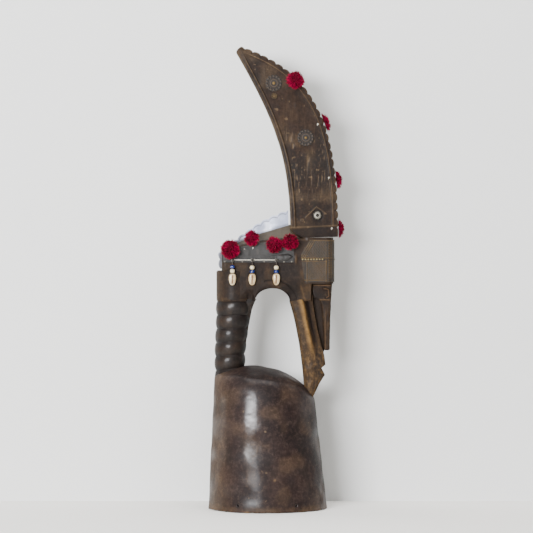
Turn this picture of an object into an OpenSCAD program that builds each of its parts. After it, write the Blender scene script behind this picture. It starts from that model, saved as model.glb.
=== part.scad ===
// Carved hood mask: a bell-shaped wooden hood carries a ringed neck, an animal's
// head that looks straight down, and one tall curved horn. Sheet metal, tacks,
// wool pompoms and strings of beads with cowries are fixed to the wood.
// Millimetres. +Z is up, +X is the way the brow faces, and the origin is the
// centre of the hood's open rim.

/* [Hood] */
// Outer diameter of the open rim
hood_base_d = 218; // [180:1:262]
// Outer diameter at the shoulder
hood_shoulder_d = 181; // [150:1:210]
// Height of the shoulder above the rim
hood_shoulder_z = 230; // [190:1:270]
// Height of the crown above the rim
hood_h = 262; // [235:1:315]
// Radius of the rounded crown
crown_r = 142; // [125:1:170]
// Thickness of the side wall
hood_wall = 12; // [8:0.5:16]
// Thickness of the crown
crown_wall = 22; // [20:0.5:28]
// Backward lean of the hood, in degrees
hood_lean = 1.9; // [0:0.1:4]
// Number of costume holes round the rim
rim_holes = 6; // [4:1:12]
// Diameter of a costume hole
rim_hole_d = 5; // [3:0.5:8]
// Height of the costume holes above the rim
rim_hole_z = 13; // [8:1:25]

/* [Neck] */
// Rise from the crown to the underside of the head
neck_rise = 118; // [95:1:145]
// Diameter of the neck under the head
neck_top_d = 67; // [60:1:76]
// Diameter of the neck at the crown
neck_foot_d = 55.5; // [48:0.5:64]
// Distance of the neck's foot behind the origin
neck_foot_back = 69.5; // [60:0.5:76]
// Distance of the neck's top behind the origin
neck_top_back = 60.5; // [52:0.5:68]
// Number of carved rings
ring_count = 6; // [3:1:9]
// Depth of the grooves between the rings
groove_depth = 2.6; // [1:0.1:4]
// Tilt of the lowest ring, in degrees
ring_tilt = 11; // [0:1:16]

/* [Head] */
// Height of the head, from the neck joint to the horn seat
head_h = 117; // [100:1:140]
// Thickness of the head from side to side
head_w = 64; // [56:0.8:76.8]
// Distance of the brow in front of the origin
brow_x = 121.5; // [112:0.5:135]
// Radius of the brow's two upright corners
brow_corner_r = 14; // [8:1:20]
// Height of the smooth collar above the rings
collar_h = 57; // [40:1:62]
// Height of the muzzle joint above the neck joint
muzzle_joint_h = 32.5; // [26:0.5:38]
// Rise of the window's arch above the neck joint
arch_rise = 24; // [14:1:28]
// Thickness of the lower jaw from side to side
jaw_w = 40; // [30:1:50]
// Thickness of the upper jaw from side to side
muzzle_w = 36; // [28:1:46]

/* [Horn] */
// Height of the horn above its seat
horn_h = 350; // [290:1:420]
// Width of the horn above the band
horn_base_w = 88; // [76:1:96]
// How far the horn's tip curls back from its base
horn_curl = 184; // [150:1:215]
// Thickness of the horn at its base
horn_t = 34; // [26:1:42]
// Thickness of the horn at its tip
horn_tip_t = 22; // [16:1:26]
// Length of one scallop along the horn's edge
scallop_pitch = 16; // [10:1:24]
// Height of a scallop
scallop_h = 2.4; // [1:0.1:4]

/* [Sheet metal] */
// Thickness of the crest's sheet
crest_t = 1.4; // [1:0.1:2]
// Thickness of the saddle plates
saddle_t = 1.2; // [0.8:0.1:1.6]
// Thickness of the brass
brass_t = 1; // [0.6:0.1:1.5]
// Diameter of the eye boss
eye_d = 17; // [12:0.5:22]
// Diameter of the large rosettes
rosette_d = 31; // [22:0.5:34]

/* [Trimmings] */
// Diameter of a wool pompom
pompom_d = 33; // [26:1:36]
// Diameter of the cream bead
cream_bead_d = 8.8; // [6:0.1:9.6]
// Diameter of the blue bead
blue_bead_d = 8.6; // [6:0.1:9.6]
// Length of a cowrie
cowrie_l = 21.5; // [16:0.5:24]
// Width of a cowrie
cowrie_w = 14.6; // [11:0.1:15]
// Thickness of the cotton cord
cord_d = 1.8; // [1.2:0.1:2.2]

/* [Hidden] */
SIDES = [["near", -1], ["far", 1]];
PENDANTS = ["rear", "middle", "front"];
EDGE_POMPOMS = ["upper", "middle", "lower"];
NECK_POMPOMS = ["nape", "ridge", "shoulder", "cheek"];

function pendant_node(piece, place, side) = str(piece, "_", place, "_", side);

NODES = concat(
    ["hood", "ribbed_neck", "head_block", "lower_jaw", "upper_jaw", "horn", "horn_peg"],
    ["crest_sheet", "saddle_plate_near", "saddle_plate_far"],
    ["brow_brass", "muzzle_brass", "seam_tacks", "saddle_tacks"],
    ["eye_boss_near", "eye_boss_far", "eye_nails"],
    ["rosette_upper_near", "rosette_upper_far", "rosette_lower_near", "rosette_lower_far"],
    ["small_rosettes", "rosette_tacks", "cord_near", "cord_far", "cord_nails"],
    [for (s = SIDES) for (p = PENDANTS) for (k = ["string", "cream_bead", "blue_bead", "cowrie"])
        pendant_node(k, p, s[0])],
    ["pompom_horn_side", "pompom_horn_upper", "pompom_horn_middle", "pompom_horn_lower"],
    ["pompom_nape", "pompom_ridge", "pompom_shoulder", "pompom_cheek"],
    ["pompoms_far", "pompom_ties"]);

node = "all";

$fn = 72;

fit = 0.15;            // clearance of a glued tenon or a kerf
peg_fit = 0.05;        // clearance round the horn's peg
skin = 0.2;            // clearance under a soft piece
big = 1000;            // size of a cutting block

// Heights of the joints between the carved pieces
floor_z = hood_h + neck_rise;           // underside of the head, top of the neck
seat_z = floor_z + head_h;              // seat of the horn
muzzle_z = floor_z + muzzle_joint_h;    // joint of the upper jaw
tip_z = seat_z + horn_h;

// Hood
base_r = hood_base_d / 2;
shoulder_r = hood_shoulder_d / 2;
taper = (base_r - shoulder_r) / hood_shoulder_z;
crown_x = -28;                          // centre of the crown's sphere
crown_z = hood_h - crown_r;
below_rim = 15;                         // the leaning cone starts this far below the rim

// Front edge of the crown: where the cone's front line meets the crown's circle
front_slope = taper + tan(hood_lean);
front_reach = base_r - crown_x;
front_b = front_reach * front_slope + crown_z;
front_c = front_reach * front_reach + crown_z * crown_z - crown_r * crown_r;
front_a = 1 + front_slope * front_slope;
crown_edge_z = (front_b + sqrt(front_b * front_b - front_a * front_c)) / front_a;
crown_edge_x = base_r - front_slope * crown_edge_z;

// Neck: the middle of its top and foot, and the foot's buried end
neck_r0 = neck_foot_d / 2;
neck_r1 = neck_top_d / 2;
neck_buried = 30;                       // length of the foot that the hood's crown cuts away
neck_start_z = hood_h - neck_buried;
neck_len = floor_z - neck_start_z;
ring_pitch = neck_len / ring_count;
tenon_r = 13;
tenon_h = 18;
foot_tenon_h = 12;
foot_tenon_z = crown_top(-neck_foot_back + tenon_r) - foot_tenon_h;

// Head: its outline from the side
nape_x = -neck_top_back - neck_r1 + 10;
half_w = head_w / 2;
brow_back_x = 60;                       // where the boxy brow begins
arch_from_x = -neck_top_back + neck_r1 + 5;
arch_to_x = 40;
split_x = 80.5;                         // front of the lower jaw's root
nape_z = floor_z + 91;
ridge_back_x = -58;
ridge_front_x = 39;
eave_back_z = floor_z + 103;
eave_front_z = seat_z - 1;
ridge_back_z = floor_z + 107;
ridge_front_z = seat_z + 23;

// Lower jaw: from the head to the crown
jaw_foot_x = crown_edge_x - 3.7;
jaw_foot_z = crown_top(jaw_foot_x) - 8;
jaw_run = floor_z - jaw_foot_z;
jaw_tenon_r = 8;
jaw_tenon_h = 14;
foot_peg_r = 3.5;
foot_peg_x = jaw_foot_x - 6.5;
foot_peg_len = 10;

// Upper jaw
muzzle_tip_z = floor_z - 89;
muzzle_front_x = brow_x - 3;

// Horn
horn_back_x = 42;
horn_front_x = horn_back_x + horn_base_w;
horn_tip_x = horn_front_x - horn_curl - 3;
band_h = 18;                            // height of the plain band at the horn's base
tenon_from_x = 76;
tenon_l = 38;
tenon_w = 16;
horn_tenon_h = 28;
peg_r = 4;
peg_x = tenon_from_x + tenon_l / 2;
peg_z = seat_z - horn_tenon_h / 2;
side_lean = atan((horn_t - horn_tip_t) / 2 / horn_h);

// Crest and saddle
kerf_depth = 8;
crest_pitch = 17;
crest_scallop_h = 3.2;
crest_end_z = seat_z + 49;
saddle_foot_z = floor_z + 71;
saddle_y = half_w + saddle_t;           // outer face of a saddle plate

// Brass
seam_z = floor_z + 77;
seam_gap = 0.4;
brow_brass_top = seat_z - 4;
muzzle_brass_foot = muzzle_z + 3;
seam_tack_pitch = 5.2;
tack_r = 1.6;
tack_pin_r = 0.5;
tack_pin_l = 6;

// Eye and rosettes, as distances from the horn's seat
eye_x = 91.5;
eye_up = 40.5;
eye_h = 5;
eye_hole_r = 2;
rosette_t = 1.2;
petals = 12;
upper_rosette = [11.5, seat_z + horn_h * 0.809];
lower_rosette = [70, seat_z + horn_h * 0.523];
small_rosette = [12.5, seat_z + horn_h * 0.742];
small_rosette_r = 5.5;

// Bead strings: a nail carries the cord and one pendant
nail_r = 1;
nail_head_r = 2.6;
nail_head_h = 1.2;
nail_depth = 14;
nail_z = floor_z + 76;
nail_x = [-64, -28, 16];
cord_r = cord_d / 2;
string_r = 0.8;
loop_gap = 0.2;
cord_y = saddle_y + 2;
string_y = saddle_y + 5.3;
string_drop = 8.5;                      // from the nail to the bend above the beads
bead_gap = 0.25;
blue_h = 6.2;
bead_top_z = nail_z - string_drop - string_r - bead_gap;
bead_seat = bead_gap - 0.3;             // a bead's hole lets the next one sit a little closer
function blue_first(i) = i == 0;        // the rear pendants are strung the other way round
function cream_z(i) = bead_top_z - cream_bead_d / 2 - (blue_first(i) ? blue_h + bead_seat : 0);
function blue_z(i) = bead_top_z - blue_h / 2 - (blue_first(i) ? 0 : cream_bead_d + bead_seat);
cowrie_h = 9;                           // from the flat face to the back
cowrie_z = bead_top_z - cream_bead_d - blue_h - bead_seat - bead_gap - cowrie_l / 2;
bead_hole_r = 1;

// Pompoms
pompom_r = pompom_d / 2;
edge_pompom_t = 0.55;                   // a tuft on the horn's edge is squashed to this share
edge_pompom_share = [0.603, 0.322, 0.057];   // heights up the horn
// Place of each pompom on the neck's side, and its size as a share of pompom_r
neck_pompom_at = [[-68.5, nape_z + 5], [-28.5, eave_back_z + 13], [12, eave_back_z + 2], [41, eave_back_z + 6]];
neck_pompom_size = [1, 0.8, 0.88, 0.86];
side_pompom_at = [50.5, seat_z + horn_h * 0.826];
side_pompom_seat = 0.72;                // share of the radius between centre and wood
tie_r = 1.7;

// Height of the crown's outer face above the rim, over a point on the centre line
function crown_top(x) = crown_z + sqrt(crown_r * crown_r - (x - crown_x) * (x - crown_x));

// A point on a cubic curve through a and d, pulled towards b and c
function bezier(a, b, c, d, t) =
    a * pow(1 - t, 3) + b * 3 * t * pow(1 - t, 2) + c * 3 * t * t * (1 - t) + d * pow(t, 3);
function bezier_path(a, b, c, d, n) = [for (i = [0:n]) bezier(a, b, c, d, i / n)];

function unit(v) = v / norm(v);
function left_of(v) = [-v[1], v[0]];

// Lengths along a path, up to each of its points
function lengths(path, i = 0, so_far = 0) =
    i >= len(path) - 1 ? [so_far] :
    concat([so_far], lengths(path, i + 1, so_far + norm(path[i + 1] - path[i])));

// The point at length s along a path, moved sideways by off
function along(path, ls, s, off, i = 0) =
    i >= len(path) - 2 || s <= ls[i + 1]
        ? path[i] + unit(path[i + 1] - path[i]) * (s - ls[i]) + left_of(unit(path[i + 1] - path[i])) * off
        : along(path, ls, s, off, i + 1);

// A path whose edge is scalloped: round bumps on its right-hand side
function scalloped(path, pitch, height, steps = 4) =
    let (ls = lengths(path), total = ls[len(ls) - 1], n = round(total / pitch))
    [for (i = [0:n * steps]) along(path, ls, total * i / (n * steps), -height * abs(sin(180 * i / steps)))];

// ---- Hood ----

// Everything above the middle of the crown's sphere and outside the sphere
module beyond_crown(shrink) {
    difference() {
        translate([-big / 2, -big / 2, crown_z]) cube([big, big, big]);
        translate([crown_x, 0, crown_z])
            rotate([90, 0, 0]) sphere(r = crown_r - shrink, $fn = 144);
    }
}

// A leaning cone under a spherical crown: the hood's outside, or its inside when shrunk
module bell(shrink, crown_shrink, foot) {
    difference() {
        rotate([0, -hood_lean, 0])
            translate([0, 0, -below_rim])
                cylinder(h = hood_h + 2 * below_rim,
                         r1 = base_r - shrink + taper * below_rim,
                         r2 = base_r - shrink - taper * (hood_h + below_rim), $fn = 144);
        beyond_crown(crown_shrink);
        translate([-big / 2, -big / 2, -big - foot]) cube([big, big, big]);
    }
}

module hood_outside() bell(0, 0, 0);

module neck_foot_tenon(gap) {
    translate([-neck_foot_back, 0, foot_tenon_z - gap])
        cylinder(h = 2 * foot_tenon_h + gap, r = tenon_r + gap);
}

module jaw_foot_tenon(gap) {
    top = crown_top(foot_peg_x);
    translate([foot_peg_x, 0, top - foot_peg_len - gap])
        cylinder(h = 2 * foot_peg_len + gap, r = foot_peg_r + gap);
}

module hood() {
    color("#4a3a2e") difference() {
        hood_outside();
        bell(hood_wall, crown_wall, 1);
        for (k = [0:rim_holes - 1])
            rotate([0, 0, 360 / rim_holes * k])
                translate([base_r - 2 * hood_wall, 0, rim_hole_z])
                    rotate([0, 90, 0]) cylinder(h = 3 * hood_wall, d = rim_hole_d);
        neck_foot_tenon(fit);
        jaw_foot_tenon(fit);
    }
}

// ---- Ribbed neck ----

// Middle, radius and tilt of the neck at a share t of its length, from the foot
function neck_x(t) = -neck_foot_back + (neck_foot_back - neck_top_back) * t * t;
function neck_r(t) = neck_r0 + (neck_r1 - neck_r0) * t * t;
function neck_tilt(t) = ring_tilt * pow(1 - t, 2);

// One ring: a barrel with rounded sides
module ring(r, h) {
    n = 8;
    side = [for (i = [0:n]) [r - groove_depth * (1 - sin(180 * i / n)), h * (i / n - 0.5)]];
    rotate_extrude() polygon(concat([[0, -h / 2]], side, [[0, h / 2]]));
}

module ribbed_neck() {
    color("#46362a") {
        difference() {
            union() {
                for (i = [0:ring_count - 1]) {
                    t = (i + 0.5) / ring_count;
                    translate([neck_x(t), 0, neck_start_z + neck_len * t])
                        rotate([0, -neck_tilt(t), 0]) ring(neck_r(t), ring_pitch);
                }
                for (i = [1:ring_count - 1]) {
                    t = i / ring_count;
                    translate([neck_x(t), 0, neck_start_z + neck_len * t])
                        rotate([0, -neck_tilt(t), 0])
                            cylinder(h = ring_pitch / 2, r = neck_r(t) - groove_depth - 0.8, center = true);
                }
            }
            hood_outside();
            translate([-big / 2, -big / 2, floor_z]) cube([big, big, big]);
        }
        intersection() {
            neck_foot_tenon(0);
            hood_outside();
        }
        translate([-neck_top_back, 0, floor_z - 1]) cylinder(h = tenon_h + 1, r = tenon_r);
    }
}

// ---- Head ----

// The window's arch between neck and jaw, as half an ellipse
function arch_points() =
    let (mid = (arch_from_x + arch_to_x) / 2, a = (arch_to_x - arch_from_x) / 2, n = 18)
    [for (i = [0:n]) [mid - a * cos(180 * i / n), floor_z + arch_rise * sin(180 * i / n)]];

// Plan of the boxy brow with two round corners, grown by g
module brow_plan(g) {
    flat = brow_x - brow_corner_r;
    translate([brow_back_x, -half_w - g]) square([flat - brow_back_x, head_w + 2 * g]);
    translate([brow_back_x, -half_w + brow_corner_r])
        square([brow_x + g - brow_back_x, head_w - 2 * brow_corner_r]);
    for (s = [-1, 1])
        translate([flat, s * (half_w - brow_corner_r)]) circle(r = brow_corner_r + g);
}

// Extrudes an outline drawn in X and Z, centred on the middle plane
module from_side(width) {
    rotate([90, 0, 0]) linear_extrude(height = width, center = true) children();
}

module roof() {
    low = 1;
    hull() {
        translate([ridge_back_x, -half_w + 7, eave_back_z - low]) cube([1, head_w - 14, low]);
        translate([ridge_front_x - 1, -half_w + 7, eave_front_z - 4 - low]) cube([1, head_w - 14, low]);
        translate([ridge_back_x, -3, ridge_back_z - low]) cube([1, 6, low]);
        translate([ridge_front_x - 1, -3, ridge_front_z - low]) cube([1, 6, low]);
    }
}

// Outline of the arched part of the head, from the side
module head_outline() {
    polygon(concat(
        [[nape_x, floor_z]],
        arch_points(),
        [[split_x, floor_z], [split_x, muzzle_z], [brow_back_x + 30, muzzle_z]],
        [[brow_back_x + 30, seat_z], [ridge_front_x, eave_front_z]],
        [[-10, eave_back_z + 8], [-45, eave_back_z + 1], [-70, nape_z + 4], [nape_x, nape_z]]));
}

module crest_kerf() {
    from_side(crest_t + 2 * fit) crest_outline(0.3);
}

module horn_tenon(gap) {
    translate([tenon_from_x - gap, -tenon_w / 2 - gap, seat_z - horn_tenon_h - gap])
        cube([tenon_l + 2 * gap, tenon_w + 2 * gap, horn_tenon_h + gap + 1]);
}

module head_block() {
    color("#4b3b2c") difference() {
        union() {
            from_side(head_w) head_outline();
            translate([0, 0, muzzle_z]) linear_extrude(height = seat_z - muzzle_z) brow_plan(0);
            translate([-neck_top_back, 0, floor_z]) cylinder(h = collar_h, r = neck_r1);
            roof();
        }
        crest_kerf();
        horn_tenon(fit);
        translate([peg_x, 0, peg_z]) rotate([90, 0, 0])
            cylinder(h = head_w + 2, r = peg_r + peg_fit, center = true);
        translate([-neck_top_back, 0, floor_z - 1]) cylinder(h = tenon_h + 1 + fit, r = tenon_r + fit);
        jaw_tenon(fit);
        muzzle_tenon(fit);
    }
}

// ---- Jaws ----

module jaw_tenon(gap) {
    x = (arch_to_x + split_x) / 2;
    translate([x, 0, floor_z - 1]) cylinder(h = jaw_tenon_h + 1 + gap, r = jaw_tenon_r + gap);
}

// Height of a point on the lower jaw, as a share of its run up from the foot
function jaw_z(t) = jaw_foot_z + jaw_run * t;

// Front edge of the lower jaw, with the two carved teeth near the foot
function jaw_front() = [
    [jaw_foot_x, jaw_z(0)], [jaw_foot_x + 13, jaw_z(0.15)],
    [muzzle_front_x - 13, jaw_z(0.245)], [muzzle_front_x - 19.5, jaw_z(0.315)],
    [muzzle_front_x - 12, jaw_z(0.35)], [muzzle_front_x - 14.5, jaw_z(0.45)],
    [muzzle_front_x - 19.5, jaw_z(0.55)], [muzzle_front_x - 27.5, jaw_z(0.74)],
    [split_x + 3, jaw_z(1)]];

module lower_jaw() {
    back = bezier_path([arch_to_x, floor_z], [arch_to_x + 14, jaw_z(0.75)],
                       [jaw_foot_x - 16, jaw_z(0.35)], [jaw_foot_x - 13, jaw_z(-0.1)], 12);
    color("#5a4630") {
        difference() {
            union() {
                from_side(jaw_w) polygon(concat(back, jaw_front()));
                from_side(jaw_w / 3) polygon([
                    [split_x + 2, jaw_z(0.99)], [split_x + 15, jaw_z(0.97)],
                    [muzzle_front_x - 17.5, jaw_z(0.76)], [muzzle_front_x - 16, jaw_z(0.52)],
                    [muzzle_front_x - 16, jaw_z(0.46)], [muzzle_front_x - 26.5, jaw_z(0.46)]]);
            }
            hood_outside();
        }
        intersection() {
            jaw_foot_tenon(0);
            hood_outside();
        }
        jaw_tenon(0);
    }
}

module muzzle_tenon(gap) {
    x = (split_x + muzzle_front_x) / 2 + 2;
    translate([x, 0, muzzle_z - 1]) cylinder(h = 15 + gap, r = 7 + gap);
}

module upper_jaw() {
    front = muzzle_front_x;
    back = split_x + fit;
    run = muzzle_z - muzzle_tip_z;
    color("#3f3128") {
        from_side(muzzle_w) polygon([
            [back, muzzle_z], [front, muzzle_z], [front - 3, muzzle_z - run / 2], [front - 4, muzzle_tip_z],
            [front - 15, muzzle_tip_z], [front - 16.5, muzzle_z - run * 0.62],
            [front - 20, muzzle_z - run * 0.32], [front - 25, muzzle_z - run * 0.235],
            [back + 3.6, floor_z + 7], [back, floor_z + 18]]);
        muzzle_tenon(0);
    }
}

// ---- Horn ----

// The horn's hollow back edge and its full front edge, from base to tip
function horn_back() = bezier_path(
    [horn_back_x, seat_z + band_h - 2], [horn_back_x - 2, seat_z + horn_h * 0.409],
    [horn_back_x - 24, seat_z + horn_h * 0.594], [horn_tip_x - 1, tip_z - 10], 24);
function horn_front() = bezier_path(
    [horn_front_x - scallop_h, seat_z + band_h], [horn_front_x - 4, seat_z + horn_h * 0.58],
    [horn_front_x - 40, seat_z + horn_h * 0.866], [horn_tip_x + 10, tip_z - 1], 40);

function reversed(list) = [for (i = [len(list) - 1:-1:0]) list[i]];

module horn_outline() {
    polygon(concat(
        [[64, seat_z], [horn_front_x - 1, seat_z + 1.5], [horn_front_x - 0.5, seat_z + band_h]],
        scalloped(horn_front(), scallop_pitch, scallop_h),
        [[horn_tip_x + 4, tip_z]],
        reversed(horn_back()),
        [[horn_back_x + 2, seat_z + 11], [horn_back_x + 10, seat_z + 4]]));
}

// The wedge that thins the horn towards its tip, seen from the front
module horn_wedge() {
    low = horn_t / 2;
    high = horn_tip_t / 2;
    rotate([90, 0, 90]) linear_extrude(height = big, center = true)
        polygon([[-low, seat_z], [low, seat_z], [high, tip_z + 1], [-high, tip_z + 1]]);
}

module horn() {
    color("#4d3d2f") difference() {
        union() {
            intersection() {
                from_side(horn_t) horn_outline();
                horn_wedge();
            }
            horn_tenon(0);
        }
        translate([peg_x, 0, peg_z]) rotate([90, 0, 0])
            cylinder(h = head_w, r = peg_r + peg_fit, center = true);
    }
}

module horn_peg() {
    color("#7a5c3c") translate([peg_x, 0, peg_z]) rotate([90, 0, 0])
        cylinder(h = head_w, r = peg_r, center = true);
}

// Half the horn's thickness at a height, and a place on its side face
function horn_half(z) = horn_t / 2 + (horn_tip_t - horn_t) / 2 * (z - seat_z) / (horn_h + 1);

module on_horn_side(at, side) {
    translate([at[0], side * horn_half(at[1]), at[1]])
        rotate([side * side_lean, 0, 0])
            rotate([-side * 90, 0, 0]) children();
}

// ---- Sheet metal ----

function crest_path() = concat(
    [[nape_x - 3, floor_z + 60], [nape_x - 4, nape_z - 4]],
    bezier_path([ridge_back_x - 5, ridge_back_z], [ridge_back_x + 28, ridge_back_z + 28],
                [-6, crest_end_z - 16], [ridge_front_x, crest_end_z], 8));

module crest_outline(grow) {
    top = reversed(scalloped(reversed(crest_path()), crest_pitch, crest_scallop_h, 6));
    polygon(concat(top, [
        [ridge_front_x, ridge_front_z - kerf_depth - grow],
        [ridge_back_x + 3, ridge_back_z - kerf_depth - grow],
        [nape_x + kerf_depth - 2 + grow, nape_z - kerf_depth],
        [nape_x + kerf_depth - 2 + grow, floor_z + 60 - grow]]));
}

module crest_sheet() {
    color("#b9bcc4") from_side(crest_t) crest_outline(0);
}

module saddle_plate(side) {
    y = side * (half_w + saddle_t / 2);
    color("#3b3733") translate([0, y, 0]) from_side(saddle_t) polygon([
        [nape_x + 2, saddle_foot_z], [48, saddle_foot_z], [48, eave_front_z - 3],
        [ridge_front_x, eave_front_z - 3], [-10, eave_back_z + 5], [-45, eave_back_z - 2],
        [-70, nape_z + 1], [nape_x + 2, nape_z - 3]]);
}

// Sheet of brass bent round the brow, cut to an outline seen from the side
module wrapped_brass(from_z, to_z, outline) {
    intersection() {
        translate([0, 0, from_z]) linear_extrude(height = to_z - from_z) difference() {
            brow_plan(brass_t);
            brow_plan(0);
        }
        from_side(head_w + 20) polygon(outline);
    }
}

module brow_brass() {
    color("#7c6534") wrapped_brass(seam_z + seam_gap / 2, brow_brass_top, [
        [brow_back_x + 1, seam_z - 1], [brow_x + 10, seam_z - 1], [brow_x + 10, brow_brass_top + 1],
        [brow_back_x + 17, brow_brass_top + 1], [brow_back_x + 1, seam_z + 10]]);
}

module muzzle_brass() {
    color("#806a3a") wrapped_brass(muzzle_brass_foot, seam_z - seam_gap / 2, [
        [brow_back_x + 8, muzzle_brass_foot - 1], [brow_x + 10, muzzle_brass_foot - 1],
        [brow_x + 10, seam_z + 1], [brow_back_x + 1.5, seam_z + 1]]);
}

// A tack whose domed head rests on z = 0 and whose pin runs down
module tack(r) {
    intersection() {
        translate([0, 0, -r * 0.3]) sphere(r = r * 1.05, $fn = 24);
        translate([-r * 2, -r * 2, 0]) cube([r * 4, r * 4, r * 2]);
    }
    translate([0, 0, -tack_pin_l]) cylinder(h = tack_pin_l + 0.1, r = tack_pin_r, $fn = 16);
}

module on_side(x, z, y, side) {
    translate([x, side * y, z]) rotate([-side * 90, 0, 0]) children();
}

module seam_tacks() {
    flat = brow_x - brow_corner_r;
    n_side = floor((flat - brow_back_x - 6) / seam_tack_pitch);
    n_front = floor((head_w / 2 - brow_corner_r) / seam_tack_pitch);
    color("#b59a5c") {
        for (s = [-1, 1]) for (i = [0:n_side])
            on_side(brow_back_x + 4 + seam_tack_pitch * i, seam_z, half_w + brass_t, s) tack(tack_r);
        for (i = [-n_front:n_front])
            translate([brow_x + brass_t, seam_tack_pitch * i, seam_z]) rotate([0, 90, 0]) tack(tack_r);
    }
}

module saddle_tacks() {
    low = saddle_foot_z + 1.8;
    color("#5a554e") for (s = [-1, 1]) {
        for (x = [nape_x + 6, -46, -6, 30, 44])
            on_side(x, low, saddle_y, s) tack(tack_r);
        on_side(44, eave_front_z - 9, saddle_y, s) tack(tack_r);
        on_side(-42, eave_back_z - 7, saddle_y, s) tack(tack_r);
    }
}

// Cast ring that stands for the eye
module eye_boss(side) {
    r = eye_d / 2;
    n = 8;
    dome = [for (i = [0:n]) [r - (r - eye_hole_r - 1.4) * (1 - cos(90 * i / n)), eye_h * sin(90 * i / n)]];
    color("#8d877c") on_horn_side([eye_x, seat_z + eye_up], side)
        rotate_extrude() polygon(concat([[eye_hole_r, 0], [r, 0]], dome, [[eye_hole_r, eye_h - 1.4]]));
}

module eye_nails() {
    color("#2c2825") for (s = [-1, 1]) on_horn_side([eye_x, seat_z + eye_up], s) {
        translate([0, 0, -10]) cylinder(h = 12, r = eye_hole_r - 0.1, $fn = 32);
    }
}

// Stamped disc: a petalled edge round a plain ring
module stamped_disc(r, n) {
    linear_extrude(height = rosette_t) union() {
        circle(r = r - 1.6);
        for (k = [0:n - 1])
            rotate(360 / n * k) translate([r - r * 0.22, 0]) circle(r = r * 0.22, $fn = 24);
    }
    rotate_extrude() translate([r * 0.56, rosette_t]) circle(r = 0.8, $fn = 16);
}

module rosette(at, side) {
    color("#6b5436") on_horn_side(at, side) difference() {
        stamped_disc(rosette_d / 2, petals);
        translate([0, 0, -2]) cylinder(h = 6, r = tack_pin_r + 0.1, $fn = 16);
    }
}

module small_rosettes() {
    color("#7a6034") for (s = [-1, 1])
        on_horn_side(small_rosette, s) difference() {
            stamped_disc(small_rosette_r, 8);
            translate([0, 0, -2]) cylinder(h = 6, r = tack_pin_r + 0.1, $fn = 16);
        }
}

module rosette_tacks() {
    color("#b8964f") for (s = [-1, 1]) {
        for (at = [upper_rosette, lower_rosette])
            on_horn_side(at, s) translate([0, 0, rosette_t]) tack(tack_r * 1.6);
        on_horn_side(small_rosette, s) translate([0, 0, rosette_t]) tack(tack_r * 0.9);
    }
}

// ---- Bead strings ----

module ring_round_nail(x, y, r, side) {
    translate([x, side * y, nail_z]) rotate([90, 0, 0])
        rotate_extrude() translate([nail_r + loop_gap + r, 0]) circle(r = r, $fn = 20);
}

module cord(side) {
    reach = nail_r + loop_gap + cord_r;
    color("#d8d2c4") {
        for (x = nail_x) ring_round_nail(x, cord_y, cord_r, side);
        for (i = [0:1])
            translate([nail_x[i] + reach, side * cord_y, nail_z]) rotate([0, 90, 0])
                cylinder(h = nail_x[i + 1] - nail_x[i] - 2 * reach, r = cord_r, $fn = 20);
    }
}

module cord_nails() {
    reach = string_y + string_r + 0.4;
    color("#3a3531") for (s = [-1, 1]) for (x = nail_x) {
        on_side(x, nail_z, half_w - nail_depth, s)
            cylinder(h = reach - half_w + nail_depth, r = nail_r, $fn = 24);
        on_side(x, nail_z, reach, s) cylinder(h = nail_head_h, r = nail_head_r, $fn = 32);
    }
}

// The loop round the nail and the thread down to the bend above the beads
module string(i, side) {
    loop_foot = nail_r + loop_gap + string_r;
    color("#4a4038") {
        ring_round_nail(nail_x[i], string_y, string_r, side);
        translate([nail_x[i], side * string_y, nail_z - string_drop])
            cylinder(h = string_drop - loop_foot, r = string_r, $fn = 20);
        translate([nail_x[i], side * string_y, nail_z - string_drop]) sphere(r = string_r, $fn = 20);
    }
}

module cream_bead(i, side) {
    color("#e9dfc6") translate([nail_x[i], side * string_y, cream_z(i)]) difference() {
        sphere(d = cream_bead_d, $fn = 40);
        cylinder(h = cream_bead_d + 2, r = bead_hole_r, center = true, $fn = 24);
    }
}

module blue_bead(i, side) {
    color("#24418c") translate([nail_x[i], side * string_y, blue_z(i)]) difference() {
        intersection() {
            sphere(d = blue_bead_d, $fn = 40);
            cylinder(h = blue_h, r = blue_bead_d, center = true);
        }
        cylinder(h = blue_h + 2, r = bead_hole_r, center = true, $fn = 24);
    }
}

// An egg-shaped shell with its flat, slotted mouth turned outwards
module cowrie(i, side) {
    mouth = 0.18;
    color("#efe6d2") translate([nail_x[i], side * string_y, cowrie_z]) difference() {
        hull() {
            translate([0, 0, cowrie_w * 0.18]) scale([cowrie_w / cowrie_l * 0.98, cowrie_h / cowrie_l, 0.62])
                sphere(d = cowrie_l, $fn = 24);
            translate([0, 0, -cowrie_l / 2 + 2.6]) scale([1, 0.8, 1]) sphere(r = 2.6, $fn = 20);
            translate([0, 0, cowrie_l / 2 - 4]) scale([1.2, 0.9, 1]) sphere(r = 4, $fn = 20);
        }
        translate([0, side * (cowrie_h / 2), 0]) cube([1.2, 2 * cowrie_h * mouth, cowrie_l * 0.8], center = true);
    }
}

// ---- Pompoms ----

// A wool ball pressed flat against a side face at depth y
module side_pompom(at, y, size, side) {
    r = pompom_r * size;
    color("#8c1533") difference() {
        translate([at[0], side * (y + r * side_pompom_seat), at[1]])
            rotate([90, 0, 0]) sphere(r = r, $fn = 36);
        translate([at[0] - big / 2, side > 0 ? y + skin - big : -y - skin, at[1] - big / 2])
            cube([big, big, big]);
    }
}

module neck_pompom(i, side) {
    ridge = i == 1;
    side_pompom(neck_pompom_at[i], saddle_y + (ridge ? 2 : 2.2), neck_pompom_size[i], side);
}

// The point of a rising path that lies nearest to height z
function nearest(path, z) = let (gaps = [for (p = path) abs(p[1] - z)]) search(min(gaps), gaps)[0];

function edge_height(k) = seat_z + horn_h * edge_pompom_share[k];

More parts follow.
